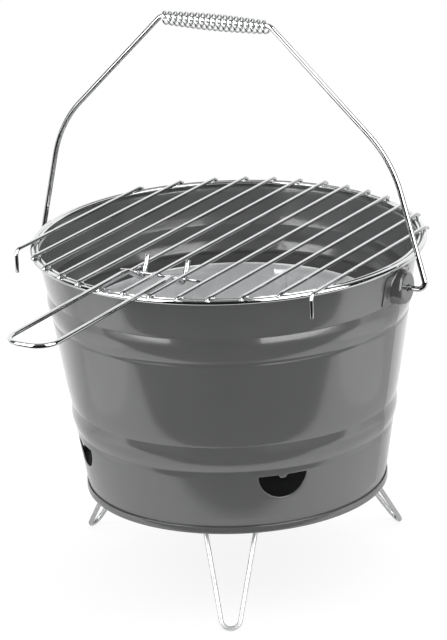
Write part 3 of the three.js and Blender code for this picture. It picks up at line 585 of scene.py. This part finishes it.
def turned_round(profile, steps):
    """The profile of radius and height turned about the Z axis, from 180 degrees back to -180, so that a
    profile that runs outwards and up looks down and out."""
    return polar(profile[:, 0], np.linspace(180, -180, steps + 1)[:, None], profile[:, 1])


chime_in = FOOT_RADIUS - 2 * SHEET - SEAT_GAP
chime_out = FOOT_RADIUS + SEAT_GAP + SHEET
bottom_corners = [(0, 0), (chime_in, 0), (chime_in, -CHIME_DEPTH), (chime_out, -CHIME_DEPTH),
                  (chime_out, CHIME_TOP)]
bottom_profile = refined(rounded(bottom_corners, [FOLD, CHIME_ROUND, CHIME_ROUND]), 4)
bottom = surface("bucket_bottom_disc", [turned_round(bottom_profile, BOTTOM_STEPS)], paint)
thicken(bottom, SHEET, 0.2)
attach(bottom, "bucket")
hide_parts("bucket_bottom")


# Ears: two cups pressed from thin steel, spot-welded to the wall by their flanges and painted with it. Their
# enamel is the wall's in darker tones, a painted shade. The bail's hooked ends turn in the hole in each
# cup's face.
EAR_RADIUS = 11.2
EAR_DRAFT = 0.5
EAR_DEPTH = 7.7
EAR_EDGE = 2.6
EAR_SHEET = 0.6
EAR_GAP = 0.08
EAR_HOLE = 2.15
HOLE_LIP = ((0, -0.5), (0.1, -0.2), (0.35, -0.03), (0.8, 0))  # outwards from the hole's edge, and how deep
EAR_FILLET = 1.3
FLANGE_HALF = (17.5, 10.4)
FLANGE_SQUARE = 9  # how square the flange's corners are
FLANGE_LEAST = 0.5  # least width of the flange beyond the fillet
WELD_SPOTS = ((-14.4, 7.4), (-14.8, -6), (14.4, 7.4), (14.8, -6))
WELD_DEPTH = 0.55
WELD_WIDTH = 1.1
EAR_FACE = wall_radius(PIVOT_HEIGHT) + EAR_DEPTH
EAR_ANGLES = 160


def flange_height(across, up):
    """How far out the flange's outer face stands at a place beside the pivot: the wall's circle there, plus
    the gap and the sheet, less a round dent at each weld."""
    ring = wall_radius_at(PIVOT_HEIGHT + up) + EAR_GAP + EAR_SHEET
    out = np.sqrt(ring**2 - across**2)
    for y, z in WELD_SPOTS:
        out = out - WELD_DEPTH * np.exp(-((across - y) ** 2 + (up - z) ** 2) / WELD_WIDTH**2)
    return out


def ear_grid():
    """One sheet from the hole's edge over the face, round the rim, down the side and out over the flange.
    Rows go outwards at a polar angle round the pivot, and the flange's outline is a squared ellipse there."""
    phi = np.radians(np.linspace(-180, 180, EAR_ANGLES + 1))[:, None]
    c, s = np.cos(phi), np.sin(phi)
    t = np.linspace(0, math.pi / 2, 9)
    lip = np.array(HOLE_LIP)
    face = EAR_RADIUS - EAR_EDGE
    face_rho = np.linspace(EAR_HOLE + 2 * lip[-1, 0], face, 6)[:-1]
    top_rho = np.concatenate([EAR_HOLE + lip[:, 0], face_rho, face + EAR_EDGE * np.sin(t)])
    top_out = np.concatenate([lip[:, 1], 0 * face_rho, EAR_EDGE * (np.cos(t) - 1)]) + EAR_FACE
    top_rho, top_out = np.broadcast_arrays(top_rho + 0 * c, top_out + 0 * c)
    side_end = EAR_RADIUS + EAR_DRAFT
    landing = side_end + EAR_FILLET
    square = (np.abs(c) / FLANGE_HALF[0]) ** FLANGE_SQUARE + (np.abs(s) / FLANGE_HALF[1]) ** FLANGE_SQUARE
    edge = square ** (-1 / FLANGE_SQUARE)
    edge = (edge**30 + (landing + FLANGE_LEAST) ** 30) ** (1 / 30)
    foot = flange_height(landing * c, landing * s)
    down = np.linspace(0, 1, 7)[1:]
    side_rho = EAR_RADIUS + EAR_DRAFT * down + 0 * c
    side_out = top_out[:, -1:] + down * (foot + EAR_FILLET - top_out[:, -1:])
    fillet_rho = side_end + EAR_FILLET * (1 - np.cos(t[1:])) + 0 * c
    fillet_out = foot + EAR_FILLET * (1 - np.sin(t[1:]))
    onward = np.linspace(0, 1, 13)[1:]
    flange_rho = landing + onward * (edge - landing)
    flange_out = flange_height(flange_rho * c, flange_rho * s)
    rho = np.concatenate([top_rho, side_rho, fillet_rho, flange_rho], axis=1)
    out = np.concatenate([top_out, side_out, fillet_out, flange_out], axis=1)
    return spread(out, rho * c, PIVOT_HEIGHT + rho * s)


# The wall's enamel in darker tones: painted shade on the cups, which look darker where they face the dark
# room
ear_paint_shaded = sprayed_enamel("ear_enamel_painted_shade", (0.1, 0.101, 0.103, 1), (0.112, 0.113, 0.115, 1))
for name, side in (("right", 1), ("left", -1)):
    ear = surface("ear_cup_" + name, [ear_grid() * (side, side, 1)], ear_paint_shaded)
    thicken(ear, EAR_SHEET, 0.22)
    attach(ear, "bucket")
    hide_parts("ear_" + name)


# Legs: three loops of 3.1 mm bright zinc-plated wire, each turning in a saddle bracket under the bottom. The
# wire's two ends butt inside the saddle.
LEG_ANGLES = (-65, 55, 175)
LEG_WIRE = 3.1
LEG_INSET = 14.4
LEG_SPLAY = 36.5
LEG_TIP_DROP = 59
LEG_WIDTH = 34
LEG_TOP_BEND = 4
LEG_TIP_BEND = 6.3
LEG_BUTT_GAP = 0.6
WIRE_SIDES = 20
WIRE_STEP = 6  # longest step along a bent wire
STREAKS = {"Across": 900.0, "Along": 30.0}
STAIN = (0.38, 0.38, 0.38, 1)
STAIN_SHARE = 0.25
HINGE_RADIUS = FOOT_RADIUS - LEG_INSET
HINGE_HEIGHT = -SEAT_GAP - LEG_WIRE / 2


def tube(path, radius, level, sides, closed):
    """Round wire along a path: each ring stands square to the path, turned from the level direction, and
    the ends are closed with a small bevel. Gives the points, and for the drawn finish the way round and
    along."""
    path = np.asarray(path, float)
    if closed:
        ahead = np.roll(path, -1, axis=0) - np.roll(path, 1, axis=0)
        ahead, path = np.concatenate([ahead, ahead[:1]]), np.concatenate([path, path[:1]])
    else:
        ahead = np.gradient(path, axis=0)
    ahead /= np.linalg.norm(ahead, axis=1, keepdims=True)
    sizes = np.full(len(path), float(radius))
    if not closed:
        bevel = 0.25 * radius
        first, last = path[0] + ahead[0] * bevel, path[-1] - ahead[-1] * bevel
        path = np.concatenate([path[[0, 0]], [first], path[1:-1], [last], path[[-1, -1]]])
        ahead = ahead[np.r_[0, 0, 0:len(ahead), -1, -1]]
        sizes = np.concatenate([[0, radius - bevel], sizes, [radius - bevel, 0]])
    across = np.cross(ahead, np.broadcast_to(level, ahead.shape))
    across /= np.linalg.norm(across, axis=1, keepdims=True)
    over = np.cross(across, ahead)
    angle = np.linspace(2 * math.pi, 0, sides + 1)[None, :, None]
    spokes = np.cos(angle) * across[:, None] + np.sin(angle) * over[:, None]
    points = path[:, None] + sizes[:, None, None] * spokes
    length = np.r_[0, np.cumsum(np.linalg.norm(np.diff(path, axis=0), axis=1))]
    return points, spread(angle[..., 0] * radius, length[:, None])


def turned(points, degrees):
    """The points turned about the Z axis."""
    turn = math.radians(degrees)
    c, s = math.cos(turn), math.sin(turn)
    return points @ np.array([(c, s, 0), (-s, c, 0), (0, 0, 1)])


def wire(name, path, thickness, level, material, turn=0, sides=WIRE_SIDES, closed=False):
    """A piece of round wire along the path, turned about the Z axis."""
    points, uv = tube(path, thickness / 2, level, sides, closed)
    return surface(name, [turned(points, turn)], material, uvs=[uv])


# Drawn wire: the streaks that a die leaves along it, from the wire's own UV map, and small stains
drawn, taken, where = effect_group("drawn_wire", ("Across", "Along"), ("Streak", "Stain"))
uv = add(drawn, "ShaderNodeUVMap", {"uv_map": "along"})
scale = add(drawn, "ShaderNodeCombineXYZ", X=taken["Across"], Y=taken["Along"], Z=1.0)
pulled = add(drawn, "ShaderNodeVectorMath", {"operation": "MULTIPLY"}, i0=uv, i1=scale)
stain = ramp(drawn, noise(drawn, where, 120.0, 4.0, 0.65), (0.52, 0), (0.72, 1))
add(drawn, "NodeGroupOutput", Streak=noise(drawn, pulled, 1.0, 3.0, 0.6), Stain=stain)


def wire_material(name, dark, light, smoothness):
    """Plated wire: the die's streaks between the two tones, darker and rougher where it is stained."""
    material, tree = shader_tree(name)
    effect = add(tree, "ShaderNodeGroup", {"node_tree": drawn}, **STREAKS).outputs
    tone = ramp(tree, effect["Streak"], (0.3, dark), (0.7, light))
    stained = blended(tree, sums(tree, "MULTIPLY", effect["Stain"], STAIN_SHARE), tone, STAIN)
    rough = scaled(tree, effect["Stain"], 0.1, smoothness)
    bump = add(tree, "ShaderNodeBump", Strength=0.05, Distance=0.0001, Height=effect["Stain"])
    finish(tree, Base_Color=stained, Roughness=rough, Normal=bump, Metallic=1.0)
    return material


chrome = wire_material("chromed_wire", (0.52, 0.525, 0.53, 1), (0.6, 0.605, 0.61, 1), 0.07)
leg_plating = wire_material("zinc_wire", (0.47, 0.473, 0.476, 1), (0.54, 0.543, 0.546, 1), 0.42)

# The loop in its own slanted plane, down one side, round the tip and back, and then set out from the hinge
splay = np.array([LEG_SPLAY, 0, -LEG_TIP_DROP - HINGE_HEIGHT])
leg_length = np.linalg.norm(splay)
half = LEG_WIDTH / 2
tip_centre = leg_length - LEG_TIP_BEND
touch = math.atan2(half, -tip_centre) - math.acos(LEG_TIP_BEND / math.hypot(tip_centre, half))
tip = circle((tip_centre, 0), LEG_TIP_BEND, math.degrees(touch), -math.degrees(touch), 28)
sides = [rounded([(0, s * LEG_BUTT_GAP / 2), (0, s * half), tuple(end)], LEG_TOP_BEND, 10)
         for s, end in ((1, tip[0]), (-1, tip[-1]))]
plane = np.concatenate([sides[0][:-1], tip, sides[1][::-1][1:]])
leg_path = np.array([HINGE_RADIUS, 0, HINGE_HEIGHT]) + plane[:, :1] * splay / leg_length
leg_path[:, 1] = plane[:, 1]
leg_path = refined(leg_path, WIRE_STEP)
leg_level = np.cross(splay / leg_length, (0, 1, 0))
for number, angle in enumerate(LEG_ANGLES, 1):
    leg = wire(f"leg_loop_{number}", leg_path, LEG_WIRE, leg_level, leg_plating, angle)
    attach(leg, f"leg_{number}")
    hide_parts(f"leg_{number}")


# Brackets: saddles bent from zinc-plated strip over the hinge wires, each with two wings that stop the open
# leg. Two snap-headed rivets hold each one to the bottom.
BRACKET_SHEET = 1
STRAP_WIDTH = 16
STRAP_IN = 9
STRAP_OUT = 8.8
WING_INSIDE = 24
WING_WIDTH = 9
WING_LENGTH = 6
WING_BEND = 0.6
WING_FOLD_RUN = 1.25
STRIP_STEP = 2  # longest step along a bracket's strip
RIVET_SHANK = 1.3
RIVET_HEAD = 2.5
RIVET_HEAD_HEIGHT = 1.2
RIVET_SHIFT = 5.8
RIVET_STEPS = 20
GRAIN_SIZE = 700.0

# Zinc plating: its flowers as flat-toned cells, and a fine grain over them
flowered, taken, where = effect_group("zinc_flowers", ("Flower size",), ("Flower", "Grain"))
cells = add(flowered, "ShaderNodeTexVoronoi", Vector=where, Scale=taken["Flower size"])
flower = add(flowered, "ShaderNodeSeparateColor", Color=cells.outputs["Color"])
add(flowered, "NodeGroupOutput", Flower=flower, Grain=noise(flowered, where, GRAIN_SIZE, 3.0, 0.7))


def plated_material(name, size, dark, light, metallic):
    """Plated sheet: flowers of that size between the two tones, rougher where a flower is pale."""
    material, tree = shader_tree(name)
    effect = add(tree, "ShaderNodeGroup", {"node_tree": flowered}, Flower_size=size).outputs
    mix = scaled(tree, effect["Grain"], 0.5, sums(tree, "MULTIPLY", effect["Flower"], 0.5))
    tone = ramp(tree, mix, (0.1, dark), (0.9, light))
    rough = scaled(tree, effect["Flower"], 0.14, 0.3)
    bump = add(tree, "ShaderNodeBump", Strength=0.1, Distance=0.0002, Height=effect["Grain"])
    finish(tree, Base_Color=tone, Roughness=rough, Normal=bump, Metallic=metallic)
    return material


zinc = plated_material("zinc_strip", 420.0, (0.5, 0.51, 0.52, 1), (0.68, 0.69, 0.7, 1), 0.9)


def strip(profile, width, shift=0.0):
    """A profile of distance and height carried sideways over the width, to both sides of the shift."""
    across = np.linspace(width / 2, -width / 2, 2 + int(width / 3)) + shift
    return spread(profile[:, 0], across[:, None], profile[:, 1])


def bracket_grids():
    """Underside of the saddle, of the links beside it and of the two wings, as five strips that share the
    points where they meet. The saddle is a bow round the hinge wire between two flanges, and a wing runs
    along the open leg up to its fold and on over the outer flange."""
    low = -SEAT_GAP - BRACKET_SHEET
    bore = LEG_WIRE / 2 + SEAT_GAP + BRACKET_SHEET
    begin = math.degrees(math.asin((low - HINGE_HEIGHT) / bore))
    bow = circle((HINGE_RADIUS, HINGE_HEIGHT), bore, 180 - begin, 360 + begin, 14)
    reach = np.array([LEG_SPLAY, -LEG_TIP_DROP - HINGE_HEIGHT])
    reach /= np.linalg.norm(reach)
    beside = np.array([HINGE_RADIUS - reach[1] * bore, HINGE_HEIGHT + reach[0] * bore])
    fold = beside + reach * (low - beside[1]) / reach[1]
    flange = refined(np.array([(fold[0] + WING_FOLD_RUN, low), (HINGE_RADIUS + STRAP_OUT, low)]), STRIP_STEP)
    saddle = refined(np.concatenate([[(HINGE_RADIUS - STRAP_IN, low)], bow]), STRIP_STEP)
    saddle = np.concatenate([saddle, flange])
    wing = rounded([tuple(beside + reach * WING_LENGTH), tuple(fold), tuple(flange[0])], WING_BEND, 5)
    wing = np.concatenate([refined(wing, STRIP_STEP)[:-1], flange])
    strips = [strip(saddle, STRAP_WIDTH)]
    for side in (-1, 1):
        strips.append(strip(flange, (WING_INSIDE - STRAP_WIDTH) / 2, side * (WING_INSIDE + STRAP_WIDTH) / 4))
        strips.append(strip(wing, WING_WIDTH, side * (WING_INSIDE + WING_WIDTH) / 2))
    return strips


for number, angle in enumerate(LEG_ANGLES, 1):
    bracket = surface(f"leg_saddle_{number}", [turned(grid, angle) for grid in bracket_grids()], zinc)
    thicken(bracket, BRACKET_SHEET, 0.15)
    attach(bracket, "bucket")
    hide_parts(f"leg_bracket_{number}")

rivet_low = -2 * SEAT_GAP - BRACKET_SHEET
rivet_high = SHEET + SEAT_GAP
dome = circle((0, 0), 1, 0, 90, 6) * (RIVET_HEAD, RIVET_HEAD_HEIGHT)
upper = np.r_[[(RIVET_SHANK, rivet_high)], dome + (0, rivet_high)]
lower = np.r_[dome[::-1] * (1, -1) + (0, rivet_low), [(RIVET_SHANK, rivet_low)]]
rivet = turned_round(np.concatenate([lower, upper]), RIVET_STEPS)
rivets = surface("bracket_rivets", [rivet + turned(np.array([HINGE_RADIUS + shift, 0, 0]), angle)
                                    for angle in LEG_ANGLES for shift in (-RIVET_SHIFT, RIVET_SHIFT)], zinc)
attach(rivets, "bucket")
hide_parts(*[f"bracket_rivet_{i}_{end}" for i in (1, 2, 3) for end in ("inner", "outer")])


# Rim bead: a chromed tube that is closed over the wall's cut edge all the way round. The grate's ring drops
# just inside it, and the bars' ends curl over it.
HOOP_STEPS = 240


def hoop(radius, height):
    """Points of a level circle round the Z axis."""
    return turned_round(np.array([(radius, height)]), HOOP_STEPS)[:-1, 0]


bead = wire("rim_bead_tube", hoop(*BEAD_CENTRE), 2 * BEAD_RADIUS, (0, 0, 1), chrome, closed=True)
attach(bead, "bucket")


# Charcoal pan: a loose pan of dull plated sheet that stands in the bucket on three strip feet. Its edge is
# hemmed, its side is closed with a lapped seam, and air holes are punched in its floor.
PAN_AIR_GAP = 16.3
PAN_DROP = 48
PAN_DRAFT = 4
PAN_FLOOR = 50
PAN_SHEET = 0.8
PAN_CORNER = 5
PAN_HEM = 4
PAN_SEAM_ANGLE = 98.5
PAN_SEAM_WIDTH = 5.4  # degrees
PAN_SEAM_RISE = 0.9
PAN_HOLE = 4.5
PAN_HOLE_PITCH = 30
PAN_FOOT_ANGLES = (-5, 115, 235)
PAN_FOOT_INSET = 13
PAN_FOOT_SHEET = 1.2
PAN_FOOT_WIDTH = 14
PAN_FOOT_TOE = 9
PAN_FOOT_BEND = 2.2
PAN_CELL = 8  # points along an inner edge of a floor cell
# A floor cell's rows, over the top to the hole and back underneath: share of the way from it, and height
HOLE_ROWS = np.array([(1, 1), (0.55, 1), (0.1, 1), (0.02, 0.95), (0, 0.8), (0, 0.2), (0.02, 0.05), (0.1, 0),
                      (0.55, 0), (1, 0)])
PAN_RIM = RIM_HEIGHT - PAN_DROP
PAN_RIM_RADIUS = wall_radius(PAN_RIM) - PAN_AIR_GAP
PAN_FLOOR_RADIUS = PAN_RIM_RADIUS - PAN_DRAFT


def pan_radius(height):
    """Outside radius of the pan's side: the floor's radius plus the draft's share of the height."""
    return PAN_FLOOR_RADIUS + (height - PAN_FLOOR) / (PAN_RIM - PAN_FLOOR) * PAN_DRAFT


def floor_cell(inner, outer, start, end, points):
    """A cell of the floor between two radii and two angles, with a round hole in its middle. Each row is a
    share of the way from the hole to the cell's edge."""
    angle, radius = four_sided(points, PAN_CELL, (start, inner), (end, outer)).T
    edge = polar(radius, angle, 0)
    middle = polar((inner + outer) / 2, (start + end) / 2, 0)
    way = edge - middle
    hole = middle + way * PAN_HOLE / np.linalg.norm(way, axis=1, keepdims=True)
    share, rise = HOLE_ROWS.T[:, :, None, None]
    return hole + share * (edge - hole) + (PAN_FLOOR + PAN_SHEET * rise) * (0, 0, 1)


half = PAN_HOLE_PITCH / 2
middle_profile = HOLE_ROWS * (half - PAN_HOLE, PAN_SHEET) + (PAN_HOLE, PAN_FLOOR)
pan_grids = [turned_round(middle_profile, 12 * PAN_CELL)]
pan_grids += [floor_cell(half, 3 * half, 60 * k - 30, 60 * k + 30, 2 * PAN_CELL) for k in range(6)]
pan_grids += [floor_cell(3 * half, 5 * half, 30 * k, 30 * k + 30, PAN_CELL) for k in range(12)]
outside = rounded([(5 * half, PAN_FLOOR), (pan_radius(PAN_FLOOR), PAN_FLOOR), (PAN_RIM_RADIUS, PAN_RIM - 1)],
                  PAN_CORNER, 8)
hem = circle((PAN_RIM_RADIUS - PAN_SHEET, PAN_RIM - PAN_SHEET), PAN_SHEET, 0, 180, 8)
hem_low = PAN_RIM - PAN_HEM
hem_foot = [(PAN_RIM_RADIUS - 2 * PAN_SHEET, hem_low), (pan_radius(hem_low) - PAN_SHEET, hem_low - 0.3)]
inner_floor = PAN_FLOOR + PAN_SHEET
inside = rounded([hem_foot[1], (pan_radius(PAN_FLOOR) - PAN_SHEET, inner_floor), (5 * half, inner_floor)],
                 PAN_CORNER - PAN_SHEET, 8)
side_profile = refined(np.concatenate([outside[:-1], hem, hem_foot[:1], inside]), 5)
pan_grids.append(turned_round(side_profile, 12 * PAN_CELL))

# The seam's inner lap: a raised strip up the side, whose edges and ends run out into the sheet
edge = np.array([-1, -0.97, -0.8, 0, 0.8, 0.97, 1]) * PAN_SEAM_WIDTH / 2
lap_top = hem_low + 0.3
lap_height = np.concatenate([[PAN_FLOOR + 5], np.linspace(PAN_FLOOR + 6, lap_top, 12), [lap_top]])
lap_rise = np.outer([-0.2] + [1] * 12 + [-0.2], [-0.2, 0.75, 1, 1, 1, 0.75, -0.2])
lap_radius = (pan_radius(lap_height) - PAN_SHEET)[:, None] - PAN_SEAM_RISE * lap_rise
pan_grids.append(polar(lap_radius, PAN_SEAM_ANGLE + edge, lap_height[:, None])[::-1])

plated = plated_material("dull_plated_sheet", 95.0, (0.66, 0.665, 0.67, 1), (0.78, 0.785, 0.79, 1), 0.35)
pan = surface("charcoal_pan_sheet", pan_grids, plated)
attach(pan, "pan")
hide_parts("charcoal_pan")

foot_low = SHEET + SEAT_GAP
foot_high = PAN_FLOOR - SEAT_GAP
foot_radius = PAN_FLOOR_RADIUS - PAN_FOOT_INSET
foot_out = foot_radius + PAN_FOOT_SHEET / 2
foot_corners = [(foot_radius - PAN_FOOT_TOE, foot_low), (foot_out, foot_low), (foot_out, foot_high),
                (foot_radius - PAN_FOOT_TOE, foot_high)]
foot_profile = refined(rounded(foot_corners, PAN_FOOT_BEND), 3)
for number, angle in enumerate(PAN_FOOT_ANGLES, 1):
    foot = surface(f"pan_foot_strip_{number}", [turned(strip(foot_profile, PAN_FOOT_WIDTH), angle)], plated)
    thicken(foot, PAN_FOOT_SHEET, 0.2)
    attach(foot, "pan")
    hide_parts(f"pan_foot_{number}")


# Grate: thirteen straight chromed wires resistance-welded across a wire ring. The ring drops inside the rim,
# and the bars' ends curl down over it. Three ends run on and turn down as hooks.
GRATE_TURN = 87.44
BAR_WIRE = 2.5
BAR_COUNT = 13
BAR_EDGE = 13.44
BAR_SPREAD = 123.6  # radius of the solid's ring, from which the bars are spaced
BAR_CURL = 60
BAR_STEP = 8
RING_WIRE = 2.2
RING_RADIUS = 125
RING_GAP = 0.1
HOOK_DROP = 15.6
HOOK_BEND = 4
FRONT_HOOK_RUN = 20
BACK_HOOK_RUN = 5.2
NUGGET = (1.35, 2.1, 0.75)  # half sizes of the metal pressed out at a weld
BAR_PITCH = 2 * (BAR_SPREAD - BAR_EDGE) / (BAR_COUNT - 1)
BAR_HEIGHT = RIM_HEIGHT + ROLL_RADIUS + SEAT_GAP + BAR_WIRE / 2
RING_HEIGHT = BAR_HEIGHT - BAR_WIRE / 2 - RING_GAP - RING_WIRE / 2


def crossing(offset, radius=ROLL_CENTRE):
    """How far from the middle a bar at this offset crosses a circle of that radius."""
    return math.sqrt(radius**2 - offset**2)


def bar_end(offset, side, run=None):
    """One end of a bar: curled down over the rim, or with a run past the rim and a bend down."""
    if run is not None:
        length = side * (crossing(offset) + run)
        hook = [(0, offset, BAR_HEIGHT), (length, offset, BAR_HEIGHT),
                (length, offset, BAR_HEIGHT - HOOK_DROP)]
        return rounded(hook, HOOK_BEND, 10)[1:]
    stretch = ROLL_CENTRE / crossing(offset)
    arc = circle((0, 0), ROLL_RADIUS + SEAT_GAP + BAR_WIRE / 2, 90, 90 - BAR_CURL, 10)
    along = side * (crossing(offset) + arc[:, 0] * stretch)
    return np.c_[along, np.full(len(arc), offset), RIM_HEIGHT + arc[:, 1]]


ring = wire("grate_ring_wire", hoop(RING_RADIUS, RING_HEIGHT), RING_WIRE, (0, 0, 1), chrome, GRATE_TURN,
            closed=True)
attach(ring, "grate")
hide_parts("grate_ring")

nuggets = []
nugget = turned_round(circle((0, 0), 1, -90, 90, 8), 12) * NUGGET
middle = (BAR_COUNT + 1) / 2
for index in range(1, BAR_COUNT + 1):
    offset = (middle - index) * BAR_PITCH
    front = bar_end(offset, -1, FRONT_HOOK_RUN if index in (1, BAR_COUNT) else None)
    back = bar_end(offset, 1, BACK_HOOK_RUN if index == middle else None)
    path = refined(np.concatenate([front[::-1], back]), BAR_STEP)
    bar = wire(f"grate_wire_{index:02d}", path, BAR_WIRE, (0, 1, 0), chrome, GRATE_TURN)
    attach(bar, "grate")
    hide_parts(f"grate_bar_{index:02d}")
    for along in (-crossing(offset, RING_RADIUS), crossing(offset, RING_RADIUS)):
        centre = (along, offset, RING_HEIGHT + RING_WIRE / 2 + SEAT_GAP / 2)
        lean = math.degrees(math.atan2(offset, along))
        nuggets.append(turned(turned(nugget, lean) + centre, GRATE_TURN))

weld, tree = shader_tree("weld_metal")
scale = noise(tree, add(tree, "ShaderNodeTexCoord").outputs["Object"], 900.0, 3.0)
tone = ramp(tree, scale, (0.3, (0.42, 0.42, 0.42, 1)), (0.7, (0.72, 0.72, 0.72, 1)))
bump = add(tree, "ShaderNodeBump", Strength=0.4, Distance=0.0003, Height=scale)
finish(tree, Base_Color=tone, Roughness=0.32, Normal=bump, Metallic=1.0)
welds = surface("grate_welds", nuggets, weld)
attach(welds, "grate")


# Lifter: one loop of 3.2 mm chromed wire lying on two bars. Its legs close in, dip between those bars, hold a
# short cross wire under them, and end in turned-up tips.
LIFTER_WIRE = 3.2
LIFTER_FURROW = 2.06
LIFTER_DIP_PLAY = 0.1
LIFTER_REACH = 113.4
LIFTER_CORNER = 13
LIFTER_SLOPE = 0.0118
LIFTER_DIP_START = 29.6
LIFTER_TOE = 8
LIFTER_DIP_RUN = 16.5
LIFTER_DIP_DROP = 10.3
LIFTER_DIP_BEND = 4
LIFTER_TIP_RUN = 7.5
LIFTER_TIP_RISE = 4
LIFTER_SOFT_BEND = 12  # where the legs start to close in
CROSS_WIRE = 2.2
CROSS_LENGTH = 60
CROSS_STEPS = 8
LIFTER_APART = (BAR_WIRE + LIFTER_WIRE) / 2 + SEAT_GAP
CROSS_HEIGHT = BAR_HEIGHT - BAR_WIRE / 2 - SEAT_GAP - CROSS_WIRE / 2


def lifter_height(along):
    """Height of the legs in the furrows beside the bars, with their slight fall towards the loop."""
    rise = math.sqrt(LIFTER_APART**2 - LIFTER_FURROW**2)
    return BAR_HEIGHT + rise + LIFTER_SLOPE * (along + crossing(BAR_PITCH))


rest = BAR_PITCH - LIFTER_FURROW
dip = BAR_PITCH - LIFTER_APART - LIFTER_DIP_PLAY
begin = LIFTER_DIP_START - ROLL_CENTRE
start = np.array([begin, lifter_height(begin)])
low = start + (LIFTER_DIP_RUN, -LIFTER_DIP_DROP)
tip = np.array([low[0] + LIFTER_TIP_RUN, start[1] + LIFTER_TIP_RISE])
toe = begin - LIFTER_TOE
end = LIFTER_WIRE / 2 - LIFTER_REACH - ROLL_CENTRE
half_loop = np.array([(tip[0], dip, tip[1]), (low[0], dip, low[1]), (start[0], dip, start[1]),
                      (toe, rest, lifter_height(toe)), (end, rest, lifter_height(end))])
loop = np.concatenate([half_loop, half_loop[::-1] * (1, -1, 1)])
bends = [LIFTER_DIP_BEND, LIFTER_DIP_BEND, LIFTER_SOFT_BEND, LIFTER_CORNER]
path = refined(rounded(loop, bends + bends[::-1], 12), WIRE_STEP)
lifter = wire("lifter_loop_wire", path, LIFTER_WIRE, (0, 0, 1), chrome, GRATE_TURN)
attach(lifter, "lifter")
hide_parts("lifter_wire")

down = (low - start) / np.linalg.norm(low - start)
apart = (LIFTER_WIRE + CROSS_WIRE) / 2 + SEAT_GAP
cross_at = start[0] + (down[0] * (CROSS_HEIGHT - start[1]) - apart) / down[1]
across = np.linspace(-CROSS_LENGTH / 2, CROSS_LENGTH / 2, CROSS_STEPS + 1)
cross_path = np.array([(cross_at, y, CROSS_HEIGHT) for y in across])
cross = wire("lifter_cross_rod", cross_path, CROSS_WIRE, (0, 0, 1), chrome, GRATE_TURN)
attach(cross, "lifter")
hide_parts("lifter_cross_wire")


# Bail: 3.6 mm chromed wire bent to a high arch, whose hooked ends turn in the ears. A loose coil of thinner
# wire, wound to a slight barrel, is the grip on its straight top.
BAIL_WIRE = 3.6
BAIL_STUB = 2
BAIL_STAND = 13.4
BAIL_LEAN = 21.3
BAIL_SHOULDER_HEIGHT = 83.9
BAIL_CORNER_ROOM = 0.9
BAIL_HEIGHT = 164
BAIL_SKEW = 0.02  # how far it is bent to the left, as a share of the height above its pivots
BAIL_BENDS = [5, 80, 6]
GRIP_LENGTH = 78
GRIP_CURLS = 19
GRIP_WIRE = 1.4
GRIP_END_RADIUS = 3.95
GRIP_MIDDLE_RADIUS = 5.1
GRIP_STEPS = 28  # points in each curl
GRIP_SIDES = 16
GRIP_RISE = 163.151  # of the coil's axis above the pivots
bail_foot = EAR_FACE + BAIL_STAND
bail_side = np.array([(wall_radius(PIVOT_HEIGHT) + BAIL_STUB, 0, 0), (bail_foot, 0, 0),
                      (bail_foot - BAIL_LEAN, 0, BAIL_SHOULDER_HEIGHT),
                      (GRIP_LENGTH / 2 + BAIL_CORNER_ROOM, 0, BAIL_HEIGHT)])
corners = np.concatenate([bail_side * (-1, 1, 1), bail_side[::-1]])
corners = corners - np.outer(corners[:, 2], (BAIL_SKEW, 0, 0)) + (0, 0, PIVOT_HEIGHT)
path = refined(rounded(corners, BAIL_BENDS + BAIL_BENDS[::-1], 16), WIRE_STEP)
bail = wire("bail_arch_wire", path, BAIL_WIRE, (0, 1, 0), chrome)
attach(bail, "bail")
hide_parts("bail_wire")

share = np.linspace(0, 1, GRIP_CURLS * GRIP_STEPS + 1)
angle = 2 * math.pi * GRIP_CURLS * share
radius = GRIP_END_RADIUS + (GRIP_MIDDLE_RADIUS - GRIP_END_RADIUS) * np.sin(math.pi * share)
helix = np.c_[(share - 0.5) * (GRIP_LENGTH - GRIP_WIRE), radius * np.cos(angle), radius * np.sin(angle)]
helix += (-BAIL_SKEW * GRIP_RISE, 0, PIVOT_HEIGHT + GRIP_RISE)
grip = wire("grip_coil_wire", helix, GRIP_WIRE, (1, 0, 0), chrome, sides=GRIP_SIDES)
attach(grip, "grip")
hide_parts("grip_coil")
